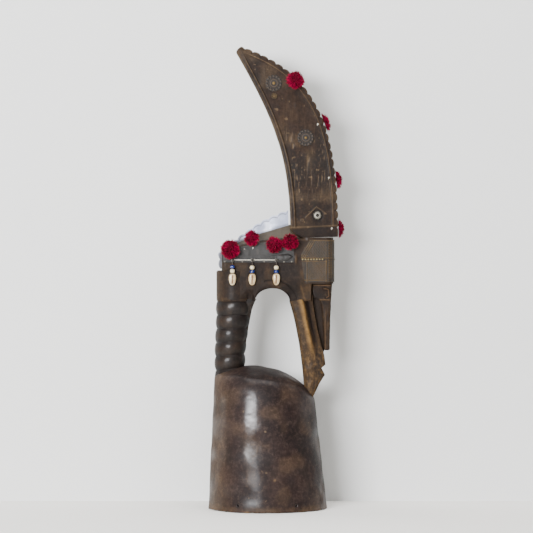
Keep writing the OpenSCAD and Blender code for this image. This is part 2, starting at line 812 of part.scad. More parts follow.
// A flattened tuft that lies along the horn's scalloped edge, k counted from the top
module edge_pompom(k) {
    edge = horn_front();
    i = nearest(edge, edge_height(k));
    out = -left_of(unit(edge[i + 1] - edge[max(i - 1, 0)]));
    at = edge[i] + out * (scallop_h + skin);
    color("#8c1533") translate([at[0], 0, at[1]]) rotate([0, -atan2(out[1], out[0]), 0])
        difference() {
            scale([edge_pompom_t, 1, 1]) sphere(r = pompom_r, $fn = 36);
            translate([-big, -big / 2, -big / 2]) cube([big, big, big]);
        }
}

// A knot of thread on a side face
module knot(r) {
    intersection() {
        sphere(r = r, $fn = 20);
        translate([-2 * r, -2 * r, skin / 4]) cube(4 * r);
    }
}

// Knots of white thread that show beside the pompoms
module pompom_ties() {
    edge = horn_front();
    color("#e4ded2") for (s = [-1, 1]) {
        for (k = [0:2]) {
            at = edge[nearest(edge, edge_height(k))];
            on_horn_side([at[0] - 11, at[1] - 3], s) knot(tie_r);
        }
        on_side(neck_pompom_at[1][0] + 2, eave_back_z - 5, saddle_y, s) knot(tie_r * 0.8);
    }
}

module pompoms_far() {
    for (i = [0, 2, 3]) neck_pompom(i, 1);
    side_pompom(side_pompom_at, horn_half(side_pompom_at[1]) + 0.6, 0.94, 1);
}

function shown(name) = node == "all" || node == name;

if (shown("hood")) hood();
if (shown("ribbed_neck")) ribbed_neck();
if (shown("head_block")) head_block();
if (shown("lower_jaw")) lower_jaw();
if (shown("upper_jaw")) upper_jaw();
if (shown("horn")) horn();
if (shown("horn_peg")) horn_peg();
if (shown("crest_sheet")) crest_sheet();
if (shown("saddle_plate_near")) saddle_plate(-1);
if (shown("saddle_plate_far")) saddle_plate(1);
if (shown("brow_brass")) brow_brass();
if (shown("muzzle_brass")) muzzle_brass();
if (shown("seam_tacks")) seam_tacks();
if (shown("saddle_tacks")) saddle_tacks();
if (shown("eye_boss_near")) eye_boss(-1);
if (shown("eye_boss_far")) eye_boss(1);
if (shown("eye_nails")) eye_nails();
if (shown("rosette_upper_near")) rosette(upper_rosette, -1);
if (shown("rosette_upper_far")) rosette(upper_rosette, 1);
if (shown("rosette_lower_near")) rosette(lower_rosette, -1);
if (shown("rosette_lower_far")) rosette(lower_rosette, 1);
if (shown("small_rosettes")) small_rosettes();
if (shown("rosette_tacks")) rosette_tacks();
if (shown("cord_near")) cord(-1);
if (shown("cord_far")) cord(1);
if (shown("cord_nails")) cord_nails();
for (s = SIDES) for (i = [0:2]) {
    if (shown(pendant_node("string", PENDANTS[i], s[0]))) string(i, s[1]);
    if (shown(pendant_node("cream_bead", PENDANTS[i], s[0]))) cream_bead(i, s[1]);
    if (shown(pendant_node("blue_bead", PENDANTS[i], s[0]))) blue_bead(i, s[1]);
    if (shown(pendant_node("cowrie", PENDANTS[i], s[0]))) cowrie(i, s[1]);
}
if (shown("pompom_horn_side"))
    side_pompom(side_pompom_at, horn_half(side_pompom_at[1]) + 0.6, 0.94, -1);
for (k = [0:2]) if (shown(str("pompom_horn_", EDGE_POMPOMS[k]))) edge_pompom(k);
for (i = [0:3]) if (shown(str("pompom_", NECK_POMPOMS[i]))) neck_pompom(i, -1);
if (shown("pompoms_far")) pompoms_far();
if (shown("pompom_ties")) pompom_ties();
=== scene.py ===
# %% [markdown]
# # A carved hood mask, from its imported frame to its finish
# The real object is one tall carving of dark, handled wood: a bell-shaped hood, a ringed neck, an
# animal's head that looks straight down, and a curved horn. Brass, tin, wool and beads are fixed to it.
# The frame file already holds every solid in its true place. This lesson replaces the plain solids with
# carved, embossed and woven surfaces, and gives each one a finish. We load the frame first and keep
# its box.

import math

import bpy
import numpy as np
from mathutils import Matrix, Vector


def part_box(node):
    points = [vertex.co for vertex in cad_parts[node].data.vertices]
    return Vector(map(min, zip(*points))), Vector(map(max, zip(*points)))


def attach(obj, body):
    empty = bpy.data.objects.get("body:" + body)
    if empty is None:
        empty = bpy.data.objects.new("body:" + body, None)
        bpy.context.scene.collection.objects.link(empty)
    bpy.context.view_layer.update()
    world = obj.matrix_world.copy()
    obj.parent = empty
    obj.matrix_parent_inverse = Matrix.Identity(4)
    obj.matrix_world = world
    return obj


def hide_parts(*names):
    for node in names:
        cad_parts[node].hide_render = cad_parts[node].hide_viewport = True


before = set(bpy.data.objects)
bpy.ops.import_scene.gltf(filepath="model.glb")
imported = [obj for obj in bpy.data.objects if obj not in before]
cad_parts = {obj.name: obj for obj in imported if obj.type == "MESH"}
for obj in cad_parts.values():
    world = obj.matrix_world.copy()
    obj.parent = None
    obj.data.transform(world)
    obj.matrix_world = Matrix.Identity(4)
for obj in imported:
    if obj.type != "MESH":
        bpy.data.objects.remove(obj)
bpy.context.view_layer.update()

# %% [markdown]
# ## Tools for surfaces
# Every carved piece is a grid of points: rows run along the piece and columns run round it. Working in
# millimetres keeps the sums readable, and one place turns them to metres. A grid becomes a closed shell
# when its last column meets its first and each end is filled from its middle.

# %% A closed shell from a grid of points
def shell(points, ring=False, **marks):
    """Faces between neighbouring rows and columns. Columns always close up; with ring=True the rows do
    too, otherwise each end gets a fan of triangles to its mean point. Marks are one number per point."""
    rows, cols = points.shape[:2]
    ids = np.arange(rows * cols).reshape(rows, cols)
    below, above = (ids, np.roll(ids, -1, 0)) if ring else (ids[:-1], ids[1:])
    quads = np.stack([below, np.roll(below, -1, 1), np.roll(above, -1, 1), above], -1).reshape(-1, 4)
    verts = points.reshape(-1, 3)
    marks = {k: np.broadcast_to(m, (rows, cols)).ravel() for k, m in marks.items()}
    fans = np.zeros((0, 3), int)
    if not ring:
        hubs = [points[0].mean(0), points[-1].mean(0)]
        n = rows * cols
        fans = np.concatenate([
            np.stack([np.roll(ids[0], -1), ids[0], np.full(cols, n)], -1),
            np.stack([ids[-1], np.roll(ids[-1], -1), np.full(cols, n + 1)], -1)])
        verts = np.concatenate([verts, hubs])
        marks = {k: np.append(m, [m[ids[0]].mean(), m[ids[-1]].mean()]) for k, m in marks.items()}
    return outward({"verts": verts, "quads": quads, "fans": fans, "marks": marks})


def outward(part):
    """Turns the faces round if the enclosed volume, the sum of a . (b x c) / 6, comes out negative."""
    quads, fans = part["quads"], part["fans"]
    tris = np.concatenate([quads[:, :3], quads[:, [0, 2, 3]], fans])
    a, b, c = (part["verts"][tris[:, k]] for k in range(3))
    if np.einsum("ij,ij->", a, np.cross(b, c)) < 0:
        part["quads"], part["fans"] = quads[:, ::-1], fans[:, ::-1]
    return part


# %% [markdown]
# A finished piece joins its shells into one mesh. `foreach_set` hands whole arrays to Blender, which is
# far quicker than adding faces one at a time. The marks become point attributes that the materials read:
# the wear mark holds rubbed wear and also painted highlights and painted shade, and the grime mark holds
# dirt and patina and also painted shade.

# %% Make a piece from shells
made = {}


def make_piece(name, shells, material, body, stands_for=(), sharp=50):
    """Joins shells (in mm) into one mesh object in metres, smooth but for edges sharper than `sharp`."""
    keys = sorted({k for s in shells for k in s["marks"]})
    verts, corners, sizes, marks, start = [], [], [], {k: [] for k in keys}, 0
    for s in shells:
        for faces in (s["quads"], s["fans"]):
            corners.append((faces + start).ravel())
            sizes.append(np.full(len(faces), faces.shape[1]))
        verts.append(s["verts"])
        start += len(s["verts"])
        for k in keys:
            marks[k].append(s["marks"].get(k, np.zeros(len(s["verts"]))))
    verts, corners, sizes = np.concatenate(verts), np.concatenate(corners), np.concatenate(sizes)
    mesh = bpy.data.meshes.new(name)
    mesh.vertices.add(len(verts))
    mesh.loops.add(len(corners))
    mesh.polygons.add(len(sizes))
    mesh.vertices.foreach_set("co", (verts * 0.001).astype(np.float32).ravel())
    mesh.loops.foreach_set("vertex_index", corners.astype(np.int32))
    mesh.polygons.foreach_set("loop_start", (np.cumsum(sizes) - sizes).astype(np.int32))
    mesh.update(calc_edges=True)
    mesh.polygons.foreach_set("use_smooth", np.ones(len(sizes), bool))
    mesh.set_sharp_from_angle(angle=math.radians(sharp))
    for k in keys:
        layer = mesh.attributes.new(k, "FLOAT", "POINT")
        layer.data.foreach_set("value", np.concatenate(marks[k]).astype(np.float32))
    piece = bpy.data.objects.new(name, mesh)
    bpy.context.scene.collection.objects.link(piece)
    mesh.materials.append(material)
    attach(piece, body)
    if stands_for:
        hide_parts(*stands_for)
    made[name] = piece
    print(f"{name}: {len(verts)} points")
    return piece


# %% [markdown]
# ## Tools for hand work
# A carved surface is never quite even. Value noise gives that: random numbers at the corners of cells of
# a chosen width, blended with an S-curve. The width is a real size, so 20 mm cells read as adze facets
# and 3 mm cells as knife marks. It has no luck in it, so each run gives the same carving.

# %% Noise with a size in millimetres
def noise(points, size, seed=0):
    """Blends the random values at the 8 corners of each point's cell; the result runs from -1 to 1."""
    q = np.asarray(points) / size
    cell = np.floor(q).astype(np.int64)
    f = q - cell
    f = f * f * (3 - 2 * f)
    total = 0.0
    for corner in range(8):
        step = np.array([corner & 1, corner >> 1 & 1, corner >> 2 & 1])
        weight = np.prod(np.where(step, f, 1 - f), -1)
        k = (cell + step) * np.array([73856093, 19349663, 83492791])
        h = (k[..., 0] ^ k[..., 1] ^ k[..., 2] ^ (seed * 7919 + 12345)) & 0xFFFFFFF
        h = (h ^ (h >> 13)) * 1274126177 & 0xFFFFFFFFFF
        total = total + weight * (((h ^ (h >> 17)) & 0xFFFF) / 65535.0)
    return 2 * total - 1


def turns(count):
    """Angles of `count` even steps round a circle."""
    return np.arange(count) / count * 2 * math.pi


def hand_carved(points, facet=0.35, mark=0.1, seed=0):
    """Height of tool marks: 18 mm facets plus 4 mm knife marks."""
    return facet * noise(points, 18, seed) + mark * noise(points, 4, seed + 1)


def ease(x, low, high):
    """0 below low, 1 above high, an S-curve between."""
    t = np.clip((x - low) / (high - low), 0, 1)
    return t * t * (3 - 2 * t)


def bead(distance, width):
    """Cross-section of a raised line: 1 at distance 0, fading over its half width."""
    return np.exp(-((distance / width) ** 2))


def to_segment(x, z, a, b):
    """Distance from points to the straight line between a and b."""
    a, b = np.array(a, float), np.array(b, float)
    d = b - a
    t = np.clip(((x - a[0]) * d[0] + (z - a[1]) * d[1]) / (d @ d), 0, 1)
    return np.hypot(x - a[0] - t * d[0], z - a[1] - t * d[1])


def bezier(a, b, c, d, t):
    """Cubic curve: a(1-t)^3 + 3b t(1-t)^2 + 3c t^2(1-t) + d t^3."""
    a, b, c, d = (np.array(p, float) for p in (a, b, c, d))
    t = np.asarray(t)[:, None]
    return a * (1 - t) ** 3 + b * 3 * t * (1 - t) ** 2 + c * 3 * t**2 * (1 - t) + d * t**3


# %% [markdown]
# Most pieces are slabs: seen from the side they lie between a back edge and a front edge, and they have a
# thickness across. Their section is a rounded rectangle. We work the section out once as a template:
# which corner each point belongs to, and which way it faces. Any width, thickness and corner radius can
# then be fitted to it with one multiplication, all along the piece.

# %% The rounded-rectangle template
def rounded_loop(n_face, n_side, n_corner=5):
    """Four arrays round the loop: A and B place the corner's centre between -1 and 1 across and through,
    C and S are the cosine and sine of the way the point faces."""
    runs = [(-90, (-1, 1), (-1, -1), n_face), (-90, 1, -1, n_corner), (0, (1, 1), (-1, 1), n_side),
            (0, 1, 1, n_corner), (90, (1, -1), (1, 1), n_face), (90, -1, 1, n_corner),
            (180, (-1, -1), (1, -1), n_side), (180, -1, -1, n_corner)]
    A, B, turn = [], [], []
    for angle, a, b, n in runs:
        flat = isinstance(a, tuple)
        t = np.arange(n) / n
        A.append(a[0] + (a[1] - a[0]) * t if flat else np.full(n, float(a)))
        B.append(b[0] + (b[1] - b[0]) * t if flat else np.full(n, float(b)))
        turn.append(np.full(n, float(angle)) if flat else angle + 90 * t)
    turn = np.radians(np.concatenate(turn))
    return np.concatenate(A), np.concatenate(B), np.cos(turn), np.sin(turn)


class Slab:
    """A body between a back edge and a front edge (each rows x 2, in X and Z), `half` thick each way in Y."""

    def __init__(self, back, front, half, corner, loop):
        A, B, C, S = loop
        span = front - back
        width = np.linalg.norm(span, axis=1)[:, None] / 2
        half = np.broadcast_to(np.asarray(half, float), (len(back),))[:, None]
        r = np.minimum(np.broadcast_to(np.asarray(corner, float), (len(back),))[:, None],
                       0.97 * np.minimum(width, half))
        unit = span / (2 * width)
        middle = (back + front) / 2
        across = A * (width - r) + C * r
        self.facing = C
        self.side = np.abs(S) * np.ones_like(across)
        self.from_back, self.from_front = width + across, width - across
        self.y = B * (half - r) + S * r
        self.x = middle[:, :1] + unit[:, :1] * across
        self.z = middle[:, 1:] + unit[:, 1:] * across
        self.normal = np.stack([unit[:, :1] * C, S * np.ones_like(across), unit[:, 1:] * C], -1)
        self.points = np.stack([self.x, self.y, self.z], -1)
        self.edge = np.abs(C * S) * 2 * np.ones_like(across)

    def raise_by(self, height):
        """Moves the surface out along its facing by a height at each point."""
        self.points = self.points + self.normal * height[..., None]


def round_off(back, front, half, length, steps=8):
    """Adds rows that close a slab's end like a fingertip: widths shrink with cos, reach grows with sin."""
    turn = np.radians(np.linspace(0, 86, steps + 1)[1:])
    middle, arm = (back[-1] + front[-1]) / 2, (front[-1] - back[-1]) / 2
    ahead = (back[-1] + front[-1] - back[-2] - front[-2])
    ahead = ahead / np.linalg.norm(ahead) * length
    reach = middle + np.sin(turn)[:, None] * ahead
    shrink = np.cos(turn)[:, None] * arm
    half = np.broadcast_to(np.asarray(half, float), (len(back),))
    return (np.concatenate([back, reach - shrink]), np.concatenate([front, reach + shrink]),
            np.concatenate([half, half[-1] * (0.35 + 0.65 * np.cos(turn))]))


# %% [markdown]
# ## Finishes
# Colours are written as the hex values a paint program shows, and one function turns them to the linear
# light that Blender works in. A second small function adds any kind of node with its settings and links,
# so a material below reads as a short list.

# %% Colour and node helpers
def hex_colour(code):
    """sRGB hex to linear: v / 12.92 below 0.04045, otherwise ((v + 0.055) / 1.055) ^ 2.4."""
    v = np.array([int(code[i:i + 2], 16) / 255 for i in (1, 3, 5)])
    v = np.where(v <= 0.04045, v / 12.92, ((v + 0.055) / 1.055) ** 2.4)
    return (*v.tolist(), 1.0)


def add_node(tree, kind, links=None, **settings):
    """Adds a node. Names that the node owns are set on it, `links` feeds its inputs: a number, a colour
    or another node's output."""
    node = tree.nodes.new("ShaderNode" + kind)
    for key, value in settings.items():
        setattr(node, key, value)
    for key, value in (links or {}).items():
        socket = node.inputs[key]
        if isinstance(value, bpy.types.NodeSocket):
            tree.links.new(value, socket)
        else:
            socket.default_value = value
    return node


def new_material(name):
    """An empty node material with its shader joined to the output."""
    material = bpy.data.materials.new(name)
    material.use_nodes = True
    tree = material.node_tree
    tree.nodes.clear()
    shader = add_node(tree, "BsdfPrincipled")
    out = add_node(tree, "OutputMaterial")
    tree.links.new(shader.outputs[0], out.inputs[0])
    return material, tree, shader


def pattern(tree, size_mm, stretch=(1, 1, 1), detail=4.0, rough=0.6):
    """Noise on object coordinates whose features are about size_mm wide, drawn out by `stretch`."""
    place = add_node(tree, "TexCoord").outputs["Object"]
    mapped = add_node(tree, "Mapping", {"Vector": place, "Scale": stretch}).outputs[0]
    return add_node(tree, "TexNoise", {"Vector": mapped, "Scale": 1000 / size_mm / 2.2, "Detail": detail,
                                       "Roughness": rough}).outputs["Fac"]


def ramp(tree, value, stops):
    """Colour by value: stops are (place, hex)."""
    node = add_node(tree, "ValToRGB", {"Fac": value})
    elements = node.color_ramp.elements
    while len(elements) < len(stops):
        elements.new(0.5)
    for element, (place, code) in zip(elements, stops):
        element.position = place
        element.color = hex_colour(code)
    return node.outputs["Color"]


def blend_colour(tree, share, low, high):
    """Mixes two colours by a share."""
    low, high = (hex_colour(c) if isinstance(c, str) else c for c in (low, high))
    return add_node(tree, "Mix", {0: share, 6: low, 7: high}, data_type="RGBA").outputs[2]


def between(tree, value, low, high, new_low=0.0, new_high=1.0):
    """Carries a value from one range to another."""
    return add_node(tree, "MapRange", {0: value, 1: low, 2: high, 3: new_low, 4: new_high}).outputs[0]


def times(tree, a, b):
    """Product of two values."""
    return add_node(tree, "Math", {0: a, 1: b}, operation="MULTIPLY").outputs[0]


def mark(tree, name):
    """A point attribute made with the mesh."""
    return add_node(tree, "Attribute", attribute_name=name).outputs["Fac"]


def relief(tree, shader, height, depth_mm, strength=1.0):
    """Fine relief from a height pattern, as deep as depth_mm."""
    bump = add_node(tree, "Bump", {"Height": height, "Distance": depth_mm * 0.001, "Strength": strength})
    tree.links.new(bump.outputs[0], shader.inputs["Normal"])


# %% [markdown]
# ### Dark carving wood
# A dense hardwood, blackened with oil, smoke and handling. Raised places are rubbed back to a golden
# brown, and the grain runs up the log. The base is a slow noise through four browns; a long thin noise adds
# grain. Both marks come from the carving itself: the wear mark lightens rubbed places and also paints
# highlights on the lit left side and along ridges, and the grime mark darkens grooves, hollows and the
# places between parts as painted shade, with some dirt. A thin clear coat gives the sheen of years of polish.

# %% Carving wood
def carving_wood(name, browns, worn, gloss=0.42, coat=0.35, coat_rough=0.22, spots=0.0):
    material, tree, shader = new_material(name)
    blotch = pattern(tree, 38, detail=6, rough=0.62)
    base = ramp(tree, blotch, list(zip((0.28, 0.46, 0.58, 0.74), browns)))
    grain = pattern(tree, 1.6, stretch=(1, 1, 0.07), detail=3)
    base = blend_colour(tree, between(tree, grain, 0.45, 0.7, 0, 0.4), base, browns[0])
    speckle = pattern(tree, 3.2, detail=7, rough=0.8)
    base = blend_colour(tree, between(tree, speckle, 0.50, 0.66, 0, 0.7), base, browns[3])
    base = blend_colour(tree, between(tree, speckle, 0.50, 0.36, 0, 0.6), base, browns[0])
    # The wear mark lightens rubbed places and also paints highlights on lit sides and ridges.
    rubbed_and_highlight = times(tree, mark(tree, "wear"), between(tree, speckle, 0.30, 0.62, 0.45, 1.15))
    base = blend_colour(tree, rubbed_and_highlight, base, worn)
    # Painted light: the pale mark lightens the up-facing roof towards a grey beige.
    base = blend_colour(tree, times(tree, mark(tree, "pale"), between(tree, speckle, 0.3, 0.7, 0.7, 1)), base,
                        "#5f574b")
    # Painted shade: the grime mark darkens grooves, hollows and joins between parts, with some dirt.
    base = blend_colour(tree, mark(tree, "grime"), base, "#120c0a")
    if spots:
        nick = pattern(tree, 7, detail=2, rough=0.4)
        base = blend_colour(tree, between(tree, nick, 0.73, 0.78, 0, spots), base, "#b99a74")
    tree.links.new(base, shader.inputs["Base Color"])
    tree.links.new(between(tree, blotch, 0.3, 0.75, gloss + 0.12, gloss + 0.36), shader.inputs["Roughness"])
    shader.inputs["Specular IOR Level"].default_value = 0.15
    tree.links.new(between(tree, mark(tree, "dull"), 0, 1, coat, 0), shader.inputs["Coat Weight"])
    shader.inputs["Coat Roughness"].default_value = coat_rough
    height = add_node(tree, "Math", {0: times(tree, grain, 0.35), 1: speckle}, operation="ADD").outputs[0]
    relief(tree, shader, height, 0.45, 0.8)
    return material


hood_wood = carving_wood("polished_hardwood_hood", ("#0f0807", "#1b1110", "#261a17", "#3c2f27"),
                         "#5a4632", gloss=0.38, coat=0.85, coat_rough=0.24, spots=0.12)
neck_wood = carving_wood("polished_hardwood_neck", ("#070403", "#0e0806", "#150e0a", "#221812"),
                         "#3a2a1c", gloss=0.42, coat=0.2, coat_rough=0.25)
head_wood = carving_wood("rubbed_hardwood_head", ("#0a0605", "#150e0a", "#1e1510", "#2c211a"), "#45331f",
                         gloss=0.46, coat=0.05)
jaw_wood = carving_wood("rubbed_hardwood_jaw", ("#100a06", "#1f150d", "#2c1f13", "#41311f"), "#735630",
                        gloss=0.48, coat=0.02)
muzzle_wood = carving_wood("rubbed_hardwood_muzzle", ("#0b0604", "#170f0a", "#22170f", "#342619"),
                           "#4f3a24", gloss=0.46, coat=0.04)
horn_wood = carving_wood("rubbed_hardwood_horn", ("#0c0704", "#1a100a", "#24170f", "#33251a"), "#574632",
                         gloss=0.48, coat=0.04, coat_rough=0.25, spots=0.1)

# %% [markdown]
# ### Metals
# Brass sheet that has been handled and never cleaned: golden on the raised work, olive and brown in the
# hollows. The tin crest's pale, slightly blue colour is a painted reflection of the pale wall, and its
# marks add a painted glint and painted shade on the dents. Dark nails and the saddle's sheet are old iron
# with a skin of oxide. Metals keep the default IOR; tarnish lowers their shine through roughness and colour.

# %% Metals
def worked_metal(name, hollow, body, raised, rough=(0.3, 0.55), metallic=1.0, grain_mm=3.0, depth=0.2):
    """Hollow, body and raised colours by the wear mark and a slow noise; on the tin crest the wear and grime
    marks are partly a painted glint and painted shade.
    """
    material, tree, shader = new_material(name)
    cloud = pattern(tree, grain_mm * 4, detail=5)
    fine = pattern(tree, grain_mm, detail=4, rough=0.7)
    base = blend_colour(tree, between(tree, cloud, 0.36, 0.66), hollow, body)
    base = blend_colour(tree, times(tree, mark(tree, "wear"), between(tree, fine, 0.3, 0.6, 0.6, 1)), base,
                        raised)
    # The grime mark is patina in the hollows, and on the tin crest partly painted shade.
    base = blend_colour(tree, mark(tree, "grime"), base, "#17120d")
    tree.links.new(base, shader.inputs["Base Color"])
    tree.links.new(between(tree, fine, 0.3, 0.7, *rough), shader.inputs["Roughness"])
    shader.inputs["Metallic"].default_value = metallic
    relief(tree, shader, fine, depth, 0.6)
    return material


embossed_brass = worked_metal("embossed_brass_sheet", "#0f0904", "#2a1c09", "#594117", rough=(0.6, 0.8),
                              metallic=0.2, grain_mm=2.2)
stamped_bronze = worked_metal("stamped_bronze_disc", "#0d0805", "#1a120d", "#4c3c2e", rough=(0.5, 0.7),
                              metallic=0.4)
gilt_boss = worked_metal("worn_gilding", "#1f1509", "#3a2a10", "#6a5226", rough=(0.45, 0.6), metallic=0.5)
# Painted reflection: the pale, slightly blue colours stand for the pale wall mirrored in the tin.
tin_painted_reflection = worked_metal("tin_sheet_painted_reflection", "#9096ab", "#b4b9cb", "#dfe2ee", rough=(0.38, 0.52),
                          metallic=0.3, depth=0.3)
tarnished_iron = worked_metal("tarnished_iron_sheet", "#0f0d0c", "#1e1b19", "#39352f", rough=(0.5, 0.7),
                              metallic=0.2)
nail_iron = worked_metal("black_nail_iron", "#100f0e", "#22201d", "#4a4641", rough=(0.4, 0.6), metallic=0.6)
cast_pewter = worked_metal("cast_pewter", "#2c2924", "#4d4a42", "#8b867a", rough=(0.4, 0.6), metallic=0.5)
brass_tack = worked_metal("brass_tack", "#2c2416", "#57492e", "#9d8c62", rough=(0.35, 0.55), grain_mm=1,
                          metallic=0.6)

# %% [markdown]
# ### Wool, cotton, glass and shell
# Wool is given no sheen here, though loose fibres at the edge of each yarn catch the light; the white
# cotton takes a little. Glass beads are opaque and glossy. A cowrie is a natural glaze over chalky shell
# with brown stains; its slit and the gaps between its teeth are darkened as painted shade.

# %% Soft and glossy finishes
def plain_finish(name, low, high, rough, size_mm, coat=0.0, sheen=0.0, relief_mm=0.1, marked="#2b1a10",
                 shine=0.5):
    """Two shades by a noise of size_mm; the wear mark moves towards the marked colour. On beads and shells
    that mark is a stain; on wool and cords it is painted shade, towards a pompom's core and between plies.
    """
    material, tree, shader = new_material(name)
    cloud = pattern(tree, size_mm, detail=4)
    base = blend_colour(tree, between(tree, cloud, 0.35, 0.65), low, high)
    base = blend_colour(tree, mark(tree, "wear"), base, marked)
    tree.links.new(base, shader.inputs["Base Color"])
    shader.inputs["Roughness"].default_value = rough
    shader.inputs["Coat Weight"].default_value = coat
    shader.inputs["Sheen Weight"].default_value = sheen
    shader.inputs["Specular IOR Level"].default_value = shine
    relief(tree, shader, cloud, relief_mm, 0.6)
    return material


crimson_wool = plain_finish("crimson_wool_yarn", "#5c0018", "#960036", 1.0, 9, marked="#1c0006", shine=0.12)
white_cotton = plain_finish("twisted_white_cotton", "#aba596", "#cdc8bb", 0.8, 2, sheen=0.1, marked="#5f5444")
waxed_thread = plain_finish("waxed_thread", "#2c251f", "#463c31", 0.6, 2)
cream_glass = plain_finish("cream_glass_bead", "#b5a684", "#d3c6a4", 0.25, 3, coat=0.4, relief_mm=0.03,
                           marked="#6b5334")
blue_glass = plain_finish("cobalt_glass_bead", "#06164a", "#0d2a75", 0.2, 3, coat=0.5, relief_mm=0.03,
                          marked="#050d22")
cowrie_glaze = plain_finish("cowrie_shell", "#a08357", "#d2c09c", 0.32, 7, coat=0.2, relief_mm=0.03,
                            marked="#63380f")

# %% [markdown]
# ## The hood
# It is a leaning cone, cut square at the rim, under a spherical crown whose middle lies further back, so
# the shoulder is high at the rear and slopes down to the front. In each direction the wall is where a
# ray first meets the cone or the sphere, and a soft minimum of the two rounds the shoulder as a rasp
# would. The same sum with smaller radii gives the hollow.

# %% The hood's surface
HOOD_R, SHOULDER_R, SHOULDER_Z, HOOD_TOP = 109.0, 90.5, 230.0, 262.0
CROWN_X, CROWN_R, WALL, CROWN_WALL, LEAN = -28.0, 142.0, 12.0, 22.0, math.radians(1.9)
TAPER = (HOOD_R - SHOULDER_R) / SHOULDER_Z
HOLE_COUNT, HOLE_Z, HOLE_R = 6, 13, 2.5
HOLE_STEP = 360 // HOLE_COUNT
CENTRE_X, CENTRE_Z = -12.0, HOOD_TOP - CROWN_R


def bell_distance(direction, shrink, crown_shrink, soft):
    """Distance from the middle of the hood to its wall along unit directions.
    Cone: |horizontal(p)| = R - taper * height, solved as a quadratic about the leaning axis.
    Sphere: |p - crown centre| = crown radius. The result is their soft minimum; `soft` is its reach along
    the middle plane and out to the sides, where the shoulder is rounder."""
    c, s = math.cos(LEAN), math.sin(LEAN)
    start = np.array([c * CENTRE_X + s * CENTRE_Z, 0.0, -s * CENTRE_X + c * CENTRE_Z])
    d = np.stack([c * direction[..., 0] + s * direction[..., 2], direction[..., 1],
                  -s * direction[..., 0] + c * direction[..., 2]], -1)
    r0 = HOOD_R - shrink - TAPER * start[2]
    a = d[..., 0] ** 2 + d[..., 1] ** 2 - (TAPER * d[..., 2]) ** 2
    b = start[0] * d[..., 0] + TAPER * r0 * d[..., 2]
    root = np.sqrt(np.maximum(b * b - a * (start[0] ** 2 - r0**2), 0))
    cone = np.where(a > 1e-4, (-b + root) / np.maximum(a, 1e-4), 1e4)
    cone = np.where(cone > 0, cone, 1e4)
    offset = CENTRE_X - CROWN_X
    b = offset * direction[..., 0]
    ball = -b + np.sqrt(b * b + (CROWN_R - crown_shrink) ** 2 - offset**2)
    soft = soft[0] + (soft[1] - soft[0]) * np.abs(direction[..., 1]) ** 1.4
    mix = np.clip(0.5 + (ball - cone) / (2 * soft), 0, 1)
    return ball * (1 - mix) + cone * mix - soft * mix * (1 - mix)


def bell_wall(shrink, crown_shrink, soft, n_crown, n_wall, foot, cols=320):
    """Rows from the crown's pole down to the foot: rays from the middle down to level, then the straight
    wall below, row by row."""
    around = turns(cols)
    tilt = np.radians(np.linspace(0.35, 90, n_crown))
    direction = np.stack([np.sin(tilt)[:, None] * np.cos(around), np.sin(tilt)[:, None] * np.sin(around),
                          np.cos(tilt)[:, None] * np.ones(cols)], -1)
    reach = bell_distance(direction, shrink, crown_shrink, soft)
    crown = np.array([CENTRE_X, 0, CENTRE_Z]) + direction * reach[..., None]
    drop = np.linspace(0, 1, n_wall + 1)[1:]
    ring = crown[-1]
    z = CENTRE_Z + (foot - CENTRE_Z) * drop
    axis = -math.tan(LEAN) * z
    grow = (HOOD_R - shrink - TAPER * z) / (HOOD_R - shrink - TAPER * CENTRE_Z)
    top_axis = -math.tan(LEAN) * CENTRE_Z
    wall = np.stack([axis[:, None] + (ring[:, 0] - top_axis) * grow[:, None], ring[:, 1] * grow[:, None],
                     z[:, None] * np.ones(cols)], -1)
    return np.concatenate([crown, wall])


# %% Carve the hood
outer = bell_wall(0, 0, (6.0, 74.0), 120, 78, 1.2)
inner = bell_wall(WALL, CROWN_WALL, (14.0, 20.0), 44, 26, 1.2)[::-1]
rim_out, rim_in = outer[-1], inner[0]
rim = np.stack([rim_out + (rim_in - rim_out) * t + [0, 0, -1.2 * math.sin(math.pi * t) ** 0.5]
                for t in (0.04, 0.1, 0.25, 0.5, 0.75, 0.9, 0.96)])
bell = np.concatenate([outer, rim, inner])
is_outer = np.concatenate([np.ones(len(outer)), np.zeros(len(rim) + len(inner))])[:, None]
from_axis = bell - np.array([CENTRE_X, 0, CENTRE_Z])
facing = from_axis / np.linalg.norm(from_axis, axis=-1, keepdims=True)
tool = 0.9 * noise(bell, 24, 3) + 0.12 * noise(bell, 5, 4) + 0.8 * noise(bell, 45, 9)
tool = tool * np.where(bell[..., 2] > 3, 1, 0.2)
inner_cuts = 0.9 * noise(bell * [1, 1, 0.35], 9, 5)
bell = bell + facing * (np.minimum(tool, 0.4) * is_outer + inner_cuts * (1 - is_outer))[..., None]
bell[..., 2] = np.maximum(bell[..., 2], 0)
x, y, z = bell[..., 0], bell[..., 1], bell[..., 2]
low_wear = ease(z, 16, 2) * (0.5 + 0.5 * noise(bell, 9, 21)) * 0.6
# Painted sheen: the left side is lightened where the lamp catches it; the noise term is random rubbing.
left_sheen_and_wear = 0.35 * ease(-x, 55, 100) + 0.2 * ease(noise(bell, 30, 6), 0.1, 0.7)
chip = np.exp(-(((x + 37) / 5) ** 2 + (z / 2.4) ** 2)) * (y < 0)
fleck = np.exp(-(((x - 13) / 1.7) ** 2 + ((z - 59) / 1.7) ** 2)) * (y < 0)
hood_wear_and_sheen = np.clip(low_wear + left_sheen_and_wear, 0, 0.8) * is_outer + 1.6 * chip + 1.4 * fleck
hole = np.hypot(x + 18, z - 43)
hole_turn = np.radians(HOLE_STEP * np.round(np.degrees(np.arctan2(y, x)) / HOLE_STEP))
to_hole = np.hypot(x * np.sin(hole_turn) - y * np.cos(hole_turn), z - HOLE_Z)
